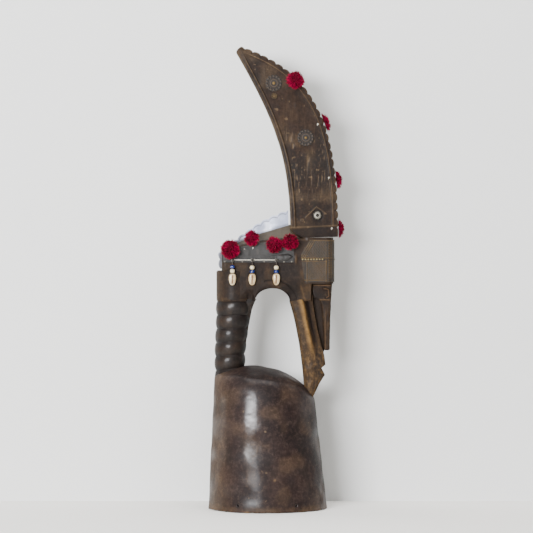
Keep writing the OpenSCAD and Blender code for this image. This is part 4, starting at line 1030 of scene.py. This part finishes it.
def rosette_height(r, turn, R, petals):
    """A beaded edge, a smooth moat and an inner ring of small seeds round a raised middle."""
    cell = (turn * petals / math.pi / 2) % 1 - 0.5
    rim = np.sqrt(np.clip(1 - ((r - 0.82 * R) / (0.16 * R)) ** 2 - (cell / 0.47) ** 2, 0, 1))
    seeds = (turn * round(petals * 1.6) / math.pi / 2) % 1 - 0.5
    inner = np.sqrt(np.clip(1 - ((r - 0.55 * R) / (0.09 * R)) ** 2 - (seeds / 0.45) ** 2, 0, 1))
    middle = ease(r, 0.44 * R, 0.34 * R)
    step = bead(r - 0.42 * R, 0.03 * R)
    return 0.45 + 0.95 * rim + 0.75 * inner + 0.35 * middle + 0.35 * step, rim, inner, step


def rosette(at, side, R, petals):
    """Stamped disc with a wavy edge; its raised work is rubbed and its hollows are dirty."""
    edge = lambda turn: R * (0.965 - 0.03 * np.cos(petals * turn + math.pi))
    height = lambda r, turn: rosette_height(r, turn, R, petals)[0] * (1 if R > 10 else 0.7)

    def marks(r, turn):
        rim, inner, step = rosette_height(r, turn, R, petals)[1:]
        raised = np.clip(0.5 * rim**2 + 0.45 * inner + step, 0, 1)
        return {"wear": raised, "grime": np.clip(0.55 - raised, 0, 0.55) * (r > 0.3 * R)}
    return disc(at, side, edge, height, marks, hole=0.62)


UPPER, LOWER, SMALL, EYE = (11.5, 780.15), (70, 680.05), (12.5, 756.7), (91.5, 537.5)
for side_name, side in SIDES.items():
    for place, at in (("upper", UPPER), ("lower", LOWER)):
        node = f"rosette_{place}_{side_name}"
        make_piece(node + "_disc", [rosette(at, side, 15.5, 14)], stamped_bronze, "mask",
                   [node], sharp=70)
make_piece("small_rosette_discs", [rosette(SMALL, side, 5.5, 8) for side in SIDES.values()], gilt_boss,
           "mask", ["small_rosettes"], sharp=70)

# %% [markdown]
# Each rosette is held by a domed brass tack with a worked head, and the eye is a cast boss: a thick ring
# that rolls over to a pit where a nail goes through. Turned shapes are lathe grids: a profile of radius
# and height, swept round.

# %% Domed tacks and eye bosses
def lathe(profile, spokes=48, wobble=0.0, seed=0):
    """Sweeps (radius, height) pairs round the out axis; the ends close on the axis."""
    turn = turns(spokes)
    r, h = np.array(profile, float).T[:, :, None]
    r = r * (1 + wobble * np.cos(2 * turn + seed))
    return np.stack([r * np.cos(turn), r * np.sin(turn), h + 0 * turn], -1)


def radius_and_angle(local):
    """Distance from the out axis, and the angle round it, of each point."""
    return np.hypot(local[..., 0], local[..., 1]), np.arctan2(local[..., 1], local[..., 0])


def dome(radius, height, n=14, lip=0.12):
    """Profile of a tack head: a short lip, then a quarter of an ellipse over the top."""
    t = np.radians(np.linspace(2, 90, n))
    return [(radius * 0.2, -0.1), (radius, 0.0), (radius, lip)] + [
        (radius * math.cos(a), lip + (height - lip) * math.sin(a)) for a in t]


rosette_centres = []
for side in SIDES.values():
    for at, size in ((UPPER, 3.4), (LOWER, 3.0), (SMALL, 1.5)):
        local = lathe(dome(size, size * 0.38), 56)
        radial, spin = radius_and_angle(local)
        radial = radial / size
        fluted = 0.06 * size * np.cos(8 * spin) * bead(radial - 0.7, 0.18)
        local[..., 2] += fluted + 1.05 * (1 if size > 2 else 0.8)
        worn = np.clip(0.4 + 4 * fluted / size + bead(radial, 0.35), 0, 1)
        rosette_centres.append(shell(on_face(at, side, local), wear=worn,
                                     grime=0.6 * bead(radial - 0.93, 0.09)))
make_piece("rosette_centre_bosses", rosette_centres, gilt_boss, "mask", ["rosette_tacks"])

for side_name, side in SIDES.items():
    t = np.radians(np.linspace(0, 90, 22))
    profile = ([(8.3, 0.05), (8.45, 0.6)] + [(3.2 + 5.2 * math.cos(a), 0.6 + 4.2 * math.sin(a)) for a in t]
               + [(2.6, 4.3), (2.2, 3.4), (2.05, 1.5), (2.05, 0.05)])
    local = lathe(profile, 96)
    radial, spin = radius_and_angle(local)
    notches = bead((spin * 9 / math.pi) % 2 - 1, 0.25) * bead(radial - 7.6, 0.9)
    local[..., 2] -= 0.5 * notches + 0.25 * np.maximum(noise(local, 2.2, 110), 0) * (radial > 3)
    boss_wear = np.clip(0.75 * ease(radial, 8.0, 4.2) - 0.3 * notches, 0, 1)
    boss_grime = np.clip(0.9 * (radial < 2.7) + 0.7 * bead(radial - 8.1, 0.5) + 0.6 * notches, 0, 1)
    make_piece("eye_boss_" + side_name + "_casting",
               [shell(on_face(EYE, side, local), ring=True, wear=boss_wear, grime=boss_grime)], cast_pewter,
               "mask", ["eye_boss_" + side_name], sharp=60)

# %% [markdown]
# ## Tacks and nails
# The rows of small tacks are all one shape, so a single dome is laid out at every place. Each gets a
# little turn and lean of its own, because tacks driven by hand never stand alike.

# %% Rows of tacks
def tacks(places, outs, radius, height, pin=4.0, seed=0):
    """One closed tack per place: a domed head on a thin pin, facing `outs`."""
    t = np.radians(np.linspace(0, 88, 7))
    profile = [(0.42, -pin), (0.45, -0.2), (radius * 0.92, -0.05), (radius, 0.15)] + [
        (radius * math.cos(a), 0.15 + height * math.sin(a)) for a in t[1:]]
    local = lathe(profile, 20)
    shells = []
    rng = np.random.default_rng(seed)
    for place, out in zip(places, outs):
        lean = rng.normal(0, 0.06, 3)
        out = np.array(out, float) + lean * (1 - np.abs(out))
        out /= np.linalg.norm(out)
        a = np.cross(out, [0, 0, 1])
        a /= np.linalg.norm(a)
        b = np.cross(out, a)
        points = np.array(place) + local @ np.stack([a, b, out])
        worn = ease(local[..., 2], 0.1, height) * rng.uniform(0.5, 1)
        shells.append(shell(points, wear=worn, grime=0.7 * bead(local[..., 2], 0.25)))
    return shells


TACK_PITCH = 5.2
seam_x = 64 + TACK_PITCH * np.arange(8)
seam_places = [(x, s * (HALF_W + 1), SEAM_Z) for s in (-1, 1) for x in seam_x] + [
    (BROW_X + 1, TACK_PITCH * i, SEAM_Z) for i in range(-3, 4)]
seam_outs = [(0, s, 0) for s in (-1, 1) for x in seam_x] + [(1, 0, 0)] * 7
make_piece("seam_tack_row", tacks(seam_places, seam_outs, 1.55, 0.95, seed=1), brass_tack, "mask",
           ["seam_tacks"])
saddle_spots = [(-78, 452.8), (-46, 452.8), (-6, 452.8), (30, 452.8), (44, 452.8), (44, 487), (-42, 476)]
make_piece("saddle_tack_row", tacks([(x, s * PLATE_FACE_Y, z) for s in (-1, 1) for x, z in saddle_spots],
                                    [(0, s, 0) for s in (-1, 1) for _ in saddle_spots], 1.6, 1.0, seed=2),
           cast_pewter, "mask", ["saddle_tacks"])
eye_spots = [on_face(EYE, s, np.array([0, 0, 0.3])) for s in (-1, 1)]
make_piece("eye_nail_heads", tacks(eye_spots, [(0, s, 0) for s in (-1, 1)], 1.8, 1.4, pin=8, seed=3),
           nail_iron, "mask", ["eye_nails"])

NAIL_X, NAIL_Z, CORD_Y, STRING_Y = (-64, -28, 16), 456.0, 35.2, 38.5
nail_shells = []
for s in (-1, 1):
    for x in NAIL_X:
        shaft = lathe([(0.5, -18), (0.98, -12), (0.98, 1.0), (2.3, 1.05), (2.6, 1.35), (2.5, 1.9),
                       (1.8, 2.25), (0.6, 2.35)], 28, 0.03, x)
        flat = np.stack([shaft[..., 0], s * (shaft[..., 2] + 38.7), shaft[..., 1]], -1)
        nail_shells.append(shell(flat + [x, 0, NAIL_Z], wear=0.6 * ease(shaft[..., 2], 1.3, 2.3),
                                 grime=0.3 + 0 * shaft[..., 0]))
make_piece("hand_made_nails", nail_shells, nail_iron, "mask", ["cord_nails"])

peg = lathe([(3.5, -31.9), (3.9, -31), (3.95, 0), (3.9, 31), (3.5, 31.9)], 40)
make_piece("cross_peg", [shell(np.stack([peg[..., 0], peg[..., 2], peg[..., 1]], -1) + [95, 0, 483],
                               wear=0.4 + 0 * peg[..., 0], grime=0 * peg[..., 0])], head_wood, "mask",
           ["horn_peg"])

# %% [markdown]
# ## Cords and threads
# A cord is a path with a frame carried along it. Its section is a lobed ring that turns as it goes: each
# lobe is one ply, so the surface twists like real yarn. r(turn) = R * (0.84 + 0.16 * |cos(plies / 2 *
# (turn - twist * length))|).

# %% Twist the cords and threads
def rope(path, radius, plies=3, lay_mm=6.0, spokes=24, closed=False, flat_up=(0, 0, 1)):
    """Closed shell round a path of points, with twisted plies."""
    path = np.array(path, float)
    ahead = np.gradient(path, axis=0) if not closed else np.roll(path, -1, 0) - np.roll(path, 1, 0)
    ahead /= np.linalg.norm(ahead, axis=1)[:, None]
    run = np.append(0, np.cumsum(np.linalg.norm(np.diff(path, axis=0), axis=1)))
    side = np.cross(ahead, np.array(flat_up, float))
    side /= np.maximum(np.linalg.norm(side, axis=1), 1e-6)[:, None]
    up = np.cross(side, ahead)
    turn = turns(spokes)
    total = run[-1] + (np.linalg.norm(path[0] - path[-1]) if closed else 0)
    twists = round(total / lay_mm) * 2 / plies if closed else total / lay_mm
    phase = run[:, None] / total * twists * 2 * math.pi
    lobes = np.abs(np.cos(plies / 2 * (turn - phase)))
    r = radius * (0.84 + 0.16 * lobes)
    points = (path[:, None] + (r * np.cos(turn))[..., None] * side[:, None]
              + (r * np.sin(turn))[..., None] * up[:, None])
    # Painted shade: the grooves between plies are darker.
    return shell(points, ring=closed, wear=0.7 * (1 - lobes) ** 2)


def nail_loop(x, y, radius):
    """Path of a loop round a nail, in the plane across it."""
    t = turns(64)
    return np.stack([x + radius * np.cos(t), 0 * t + y, NAIL_Z + radius * np.sin(t)], 1)


for side_name, side in SIDES.items():
    y = side * CORD_Y
    shells = [rope(nail_loop(x, y, 2.1), 0.9, closed=True, flat_up=(0, 1, 0)) for x in NAIL_X]
    for a, b in zip(NAIL_X[:-1], NAIL_X[1:]):
        n = int((b - a) * 2)
        t = np.linspace(0, 1, n)[:, None]
        path = np.array([a + 2.9, y, NAIL_Z]) * (1 - t) + np.array([b - 2.9, y, NAIL_Z]) * t
        shells.append(rope(path, 0.86))
        shells.append(rope(path[:8] + [-1.2, 0, 0.75], 0.7, lay_mm=3))
    make_piece("cotton_cord_" + side_name, shells, white_cotton, "mask", ["cord_" + side_name])

# %% [markdown]
# ## Beads and cowries
# Each pendant is a thread looped on a nail, a cream bead, a blue bead and a cowrie whose toothed mouth
# faces outwards; on the rear pendants the blue bead comes first. The thread's top loop swings about the
# nail, and the beads also lift away from the head, so these pieces ride on their own bodies and not on
# the mask.

# %% String the pendants
CREAM_Z, BLUE_Z, COWRIE_Z = 442.05, 434.6, 420.5
REAR_CREAM_Z, REAR_BLUE_Z = 435.9, 443.35


def turned_bead(x, y, z, radius, half_height, squash, seed):
    """Bead with a hole: a profile round the wall of the hole and over the outside."""
    t = np.radians(np.linspace(-74, 74, 26))
    outside = [(radius * math.cos(a) ** squash, half_height / math.sin(math.radians(74)) * math.sin(a))
               for a in t]
    profile = [(1.02, -half_height)] + outside + [(1.02, half_height), (0.98, 0)]
    local = lathe(profile, 44, 0.012, seed)
    points = local + [x, y, z]
    stain = np.clip(0.9 * bead(np.abs(local[..., 2]) - half_height, 0.5)
                    + 0.4 * ease(noise(points, 2.6, seed), 0.4, 0.9), 0, 1)
    return shell(points, ring=True, wear=stain)


def cowrie(x, side):
    """Egg-shaped shell, broad at the top: width and depth follow its length, and the outward face is
    flattened and split by a slit with teeth along both lips."""
    t = np.linspace(0, 1, 90)[:, None]
    turn = turns(96)
    z = 10.6 * np.cos(math.pi * t)
    plump = np.sin(math.pi * t) ** 0.62 * (1 + 0.17 * np.cos(math.pi * t))
    across, depth = 6.5 * plump * np.cos(turn), 4.2 * plump * np.sin(turn)
    outward_face = np.clip(np.sin(turn), 0, 1) * np.ones_like(t)
    depth = np.where(depth > 2.9, 2.9 + 0.35 * (depth - 2.9), depth)
    slit_x = 0.55 * np.sin(z / 9.5)
    gap = np.abs(across - slit_x)
    within = ease(np.abs(z), 8.6, 7.4) * (outward_face > 0.2)
    lips = bead(gap - 1.35, 0.75) * within
    teeth = 0.5 + 0.5 * np.cos(2 * math.pi * z / 1.35)
    depth = depth - 2.0 * ease(gap, 0.85, 0.35) * within + (0.30 * lips + 0.22 * lips * teeth)
    local = np.stack([across, side * depth, z + 0 * turn], -1)
    # Painted shade darkens the slit and the gaps between the teeth; the noise blotches are brown stain.
    tan = np.clip(1.0 * ease(gap, 1.0, 0.5) * within + 0.55 * lips * (1 - teeth)
                  + 0.2 * ease(noise(local, 5, int(x)), 0.1, 0.8), 0, 1)
    return shell(local + [x, side * STRING_Y, COWRIE_Z], wear=tan)


for side_name, side in SIDES.items():
    for place, x in zip(("rear", "middle", "front"), NAIL_X):
        tag = f"{place}_{side_name}"
        y = side * STRING_Y
        down = np.stack([np.full(24, float(x)), np.full(24, y), np.linspace(NAIL_Z - 2.2, 447.3, 24)], 1)
        make_piece("thread_loop_" + tag, [
            rope(nail_loop(x, y, 2.0), 0.78, 2, 3.2, 20, True, (0, 1, 0)),
            rope(down, 0.76, 2, 3.2, 20, flat_up=(0, 1, 0)),
            rope(down[:5] + [0.5, 0.1, 0.2], 0.75, 2, 2.5, 16, flat_up=(0, 1, 0))],
            waxed_thread, "thread_" + tag, ["string_" + tag])
        cream_z, blue_z = (REAR_CREAM_Z, REAR_BLUE_Z) if place == "rear" else (CREAM_Z, BLUE_Z)
        make_piece("cream_glass_" + tag, [turned_bead(x, y, cream_z, 4.38, 4.0, 0.85, 5)], cream_glass,
                   "beads_" + tag, ["cream_bead_" + tag], sharp=60)
        make_piece("blue_glass_" + tag, [turned_bead(x, y, blue_z, 4.28, 3.0, 0.6, 6)], blue_glass,
                   "beads_" + tag, ["blue_bead_" + tag], sharp=60)
        make_piece("cowrie_shell_" + tag, [cowrie(x, side)], cowrie_glaze, "beads_" + tag,
                   ["cowrie_" + tag], sharp=60)

# %% [markdown]
# ## Wool pompoms
# A pompom is a bundle of yarn tied hard in the middle and clipped. Each one here is a lumpy core with
# several hundred yarn ends standing out of it. The ends point evenly over a sphere, by the golden-angle
# spiral, and each is bent a little, with a seeded lean of its own. Every strand is a thin tapering tube
# of three sides: one strand is worked out as an array, and all of them at once by broadcasting.

# %% Wind the pompoms
def pompom(centre, radius, flat_at=None, squash=None, count=760, seed=0):
    """Core and yarn ends; each strand darkens towards its root and the core is dark, as painted shade inside
    the ball. `flat_at` is (point, normal) of the surface behind it: nothing passes it. `squash` is a
    (direction, share) along which the ball is flattened."""
    rng = np.random.default_rng(seed)
    k = np.arange(count) + 0.5
    polar = np.arccos(1 - 2 * k / count)
    swing = math.pi * (1 + 5**0.5) * k
    out = np.stack([np.cos(swing) * np.sin(polar), np.sin(swing) * np.sin(polar), np.cos(polar)], -1)
    out += rng.normal(0, 0.2, out.shape)
    out /= np.linalg.norm(out, axis=1)[:, None]
    side = np.cross(out, rng.normal(0, 1, out.shape))
    side /= np.linalg.norm(side, axis=1)[:, None]
    up = np.cross(out, side)
    t = np.array([0, 0.45, 0.72, 0.9, 1.0])
    lumps = 1 + 0.16 * noise(out * radius + seed, 9, seed)
    reach = (radius * rng.uniform(0.80, 1.13, count) * lumps)[:, None]
    length = 0.42 + 0.58 * t
    bend = radius * 0.2 * rng.normal(0, 1, (count, 1)) * (t**2) - radius * 0.04 * t
    line = (out[:, None] * (reach * length)[..., None] + side[:, None] * bend[..., None]
            + np.array([0, 0, -1.0]) * (radius * 0.05 * t**2)[None, :, None])
    long = np.linalg.norm(line, axis=-1, keepdims=True)
    line = line * np.minimum(1, radius * 1.22 / np.maximum(long, 1e-6))
    thick = radius * 0.043 * np.array([0.8, 1.1, 1.05, 0.75, 0.3])
    thick = thick * rng.uniform(0.75, 1.3, (count, 1))
    turn = turns(3)
    tube = (line[:, :, None] + (thick[..., None] * np.cos(turn))[..., None] * side[:, None, None]
            + (thick[..., None] * np.sin(turn))[..., None] * up[:, None, None])
    parts = []
    ids = np.arange(count * 15).reshape(count, 5, 3)
    quads = np.stack([ids[:, :-1], np.roll(ids, -1, 2)[:, :-1], np.roll(ids, -1, 2)[:, 1:], ids[:, 1:]],
                     -1).reshape(-1, 4)
    caps = np.concatenate([ids[:, 0, ::-1], ids[:, -1]])
    # Painted shade: each strand darkens towards its root.
    root_shade = np.broadcast_to(ease(t, 1.0, 0.4)[None, :, None], tube.shape[:3])
    parts.append(outward({"verts": tube.reshape(-1, 3), "quads": quads, "fans": caps,
                          "marks": {"wear": (root_shade * 0.9).ravel()}}))
    a = np.linspace(0.02, math.pi - 0.02, 26)[:, None]
    b = turns(44)
    core = np.stack([np.sin(a) * np.cos(b), np.sin(a) * np.sin(b), np.cos(a) + 0 * b], -1)
    core = core * radius * (0.74 + 0.07 * noise(core * radius, 3.2, seed))[..., None]
    # Painted shade: the core is dark all over.
    parts.append(shell(core, wear=0.8 + 0 * core[..., 0]))
    for part in parts:
        v = part["verts"]
        if squash is not None:
            d = np.array(squash[0], float)
            v = v - (v @ d)[:, None] * d * (1 - squash[1])
        v = v + np.array(centre, float)
        if flat_at is not None:
            p, n = np.array(flat_at[0], float), np.array(flat_at[1], float)
            below = np.maximum(-((v - p) @ n), 0)
            v = v + n * below[:, None] * np.linspace(1.0, 1.04, len(v))[:, None]
        part["verts"] = v
    return parts


POMPOM_R = 16.5
neck_pompoms = {"nape": ((-68.5, 476), 1.0, 35.6), "ridge": ((-28.5, 496), 0.8, 35.4),
                "shoulder": ((12, 485), 0.88, 35.6), "cheek": ((41, 489), 0.86, 35.6)}


def side_pompom(at, share, face, side, seed):
    r = POMPOM_R * share
    return pompom((at[0], side * (face - 0.2 + 0.72 * r), at[1]), r, ((0, side * face, 0), (0, side, 0)),
                  seed=seed)


for i, (place, (at, share, face)) in enumerate(neck_pompoms.items()):
    make_piece(f"wool_pompom_{place}", side_pompom(at, share, face, -1, 20 + i), crimson_wool, "mask",
               ["pompom_" + place])
horn_side = ((50.5, 786.1), 0.94, FOOT_HALF - THINNING * 289.1 / 351 + 0.8)
make_piece("wool_pompom_horn_side", side_pompom(*horn_side, -1, 30), crimson_wool, "mask",
           ["pompom_horn_side"])
far_side = [side_pompom(*neck_pompoms[k], 1, 40 + i) for i, k in enumerate(("nape", "shoulder", "cheek"))]
far_side.append(side_pompom(*horn_side, 1, 44))
make_piece("wool_pompoms_far", sum(far_side, []), crimson_wool, "mask", ["pompoms_far"])

for i, (place, z) in enumerate((("upper", 708.0), ("middle", 609.7), ("lower", 517.0))):
    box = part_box("pompom_horn_" + place)
    lo, hi = (np.array(c) * 1000 for c in box)
    k = int(np.argmin(np.abs(front_edge[:, 1] - 0.5 * (lo[2] + hi[2]))))
    out = np.array([tangent[k, 1], 0, -tangent[k, 0]])
    at = np.array([front_edge[k, 0], 0, front_edge[k, 1]]) + out * (3.0 - bumps[k])
    make_piece(f"wool_tuft_horn_{place}",
               pompom(at, POMPOM_R, (at + out * 0.1, out), (out, 0.6), seed=50 + i), crimson_wool,
               "mask", ["pompom_horn_" + place])

# %% [markdown]
# White thread ties each tuft on. A knot is a small ball of wound turns: a rope coiled round itself, with
# two loose ends.

# %% Tie the knots
def knot(centre, out, size):
    """A coil wound over a small ball: the path's height and angle run at different rates."""
    t = np.linspace(0, 1, 90)
    out = np.array(out, float)
    a = np.array([0, 0, 1.0]) - out * out[2]
    a /= np.linalg.norm(a)
    b = np.cross(out, a)
    w, tilt = 2 * math.pi * 4 * t, math.pi * (0.15 + 0.7 * t)
    path = (np.cos(w) * np.sin(tilt))[:, None] * a + (np.sin(w) * np.sin(tilt))[:, None] * out * 0.5 \
        + np.cos(tilt)[:, None] * b
    path = np.array(centre) + out * size * 0.55 + path * size * 0.66
    tail = np.array(centre) + out * size * 0.5 - a * np.linspace(0.4, 2.6, 16)[:, None] * size * 0.6 \
        + b * (np.sin(np.linspace(0, 2.5, 16)) * size * 0.5)[:, None]
    return [rope(path, size * 0.26, 2, 2.0, 12, flat_up=tuple(b + 0.3 * a)),
            rope(tail, size * 0.2, 2, 2.0, 10, flat_up=tuple(b))]


knots = []
for s in (-1, 1):
    for z in (708.0, 609.7, 517.0):
        k = int(np.argmin(np.abs(front_edge[:, 1] - z)))
        at = (front_edge[k, 0] - 11, z - 3)
        knots += knot(on_face(at, s, np.array([0, 0, 0.1])), (0, s, 0), 1.9)
    knots += knot((-26.5, s * 33.3, 478), (0, s, 0), 1.5)
make_piece("white_thread_knots", knots, white_cotton, "mask", ["pompom_ties"])

# %% [markdown]
# ## The stage
# The mask stands before a pale wall, 29 mm behind the back of its rim, and on a floor at the rim's height.
# The wall hides the mask from any camera placed behind it. A wide soft box from the left front makes the
# highlights on the bell, one from above lights the floor, and an even, weak sky fills the rest.

# %% Wall, floor, light and camera
def stage_sheet(name, corners, code, rough):
    """One flat sheet of the stage, very slightly mottled."""
    mesh = bpy.data.meshes.new(name)
    mesh.from_pydata([tuple(c) for c in corners], [], [(0, 1, 2, 3)])
    sheet = bpy.data.objects.new(name, mesh)
    bpy.context.scene.collection.objects.link(sheet)
    material, tree, shader = new_material(name)
    mottle = pattern(tree, 160, detail=3)
    lighter = hex_colour(code)
    tint = blend_colour(tree, between(tree, mottle, 0.3, 0.7, 0, 0.05), lighter, "#ffffff")
    tree.links.new(tint, shader.inputs["Base Color"])
    shader.inputs["Roughness"].default_value = rough
    mesh.materials.append(material)
    return sheet


WALL_Y = 0.138
stage_sheet("paper_floor", [(-3, -3, 0), (3, -3, 0), (3, 0.14, 0), (-3, 0.14, 0)], "#fbf8f2", 0.8)
stage_sheet("painted_wall", [(-3, WALL_Y, -0.01), (3, WALL_Y, -0.01), (3, WALL_Y, 2.4), (-3, WALL_Y, 2.4)],
            "#dededc", 0.85)


def soft_box(name, place, target, width, height, power, code="#ffffff"):
    """Rectangular lamp at a place, turned to face a target."""
    lamp = bpy.data.lights.new(name, "AREA")
    lamp.shape, lamp.size, lamp.size_y, lamp.energy = "RECTANGLE", width, height, power
    lamp.color = hex_colour(code)[:3]
    holder = bpy.data.objects.new(name, lamp)
    bpy.context.scene.collection.objects.link(holder)
    ahead = np.array(target, float) - np.array(place, float)
    x, y, z = ahead
    holder.location = place
    holder.rotation_euler = (math.atan2(math.hypot(x, y), -z), 0, math.atan2(-x, y))
    return holder


soft_box("window_left_of_camera", (-1.7, -4.2, 1.0), (0, 0, 0.4), 2.0, 0.9, 440, "#fbfcff")
soft_box("top_soft_box", (0.2, -0.9, 2.6), (0, 0, 0.3), 2.2, 1.4, 62)

world = bpy.data.worlds.new("soft_studio")
bpy.context.scene.world = world
world.use_nodes = True
world.node_tree.nodes["Background"].inputs[0].default_value = hex_colour("#f2f4f7")
world.node_tree.nodes["Background"].inputs[1].default_value = 0.2

camera_data = bpy.data.cameras.new("camera")
camera_data.sensor_width, camera_data.lens = 36.0, 169.0
camera_data.dof.use_dof = False
camera = bpy.data.objects.new("camera", camera_data)
bpy.context.scene.collection.objects.link(camera)
camera.location = (-0.0019, -4.6, 0.444)
camera.rotation_euler = (math.pi / 2, 0, 0)
bpy.context.scene.camera = camera
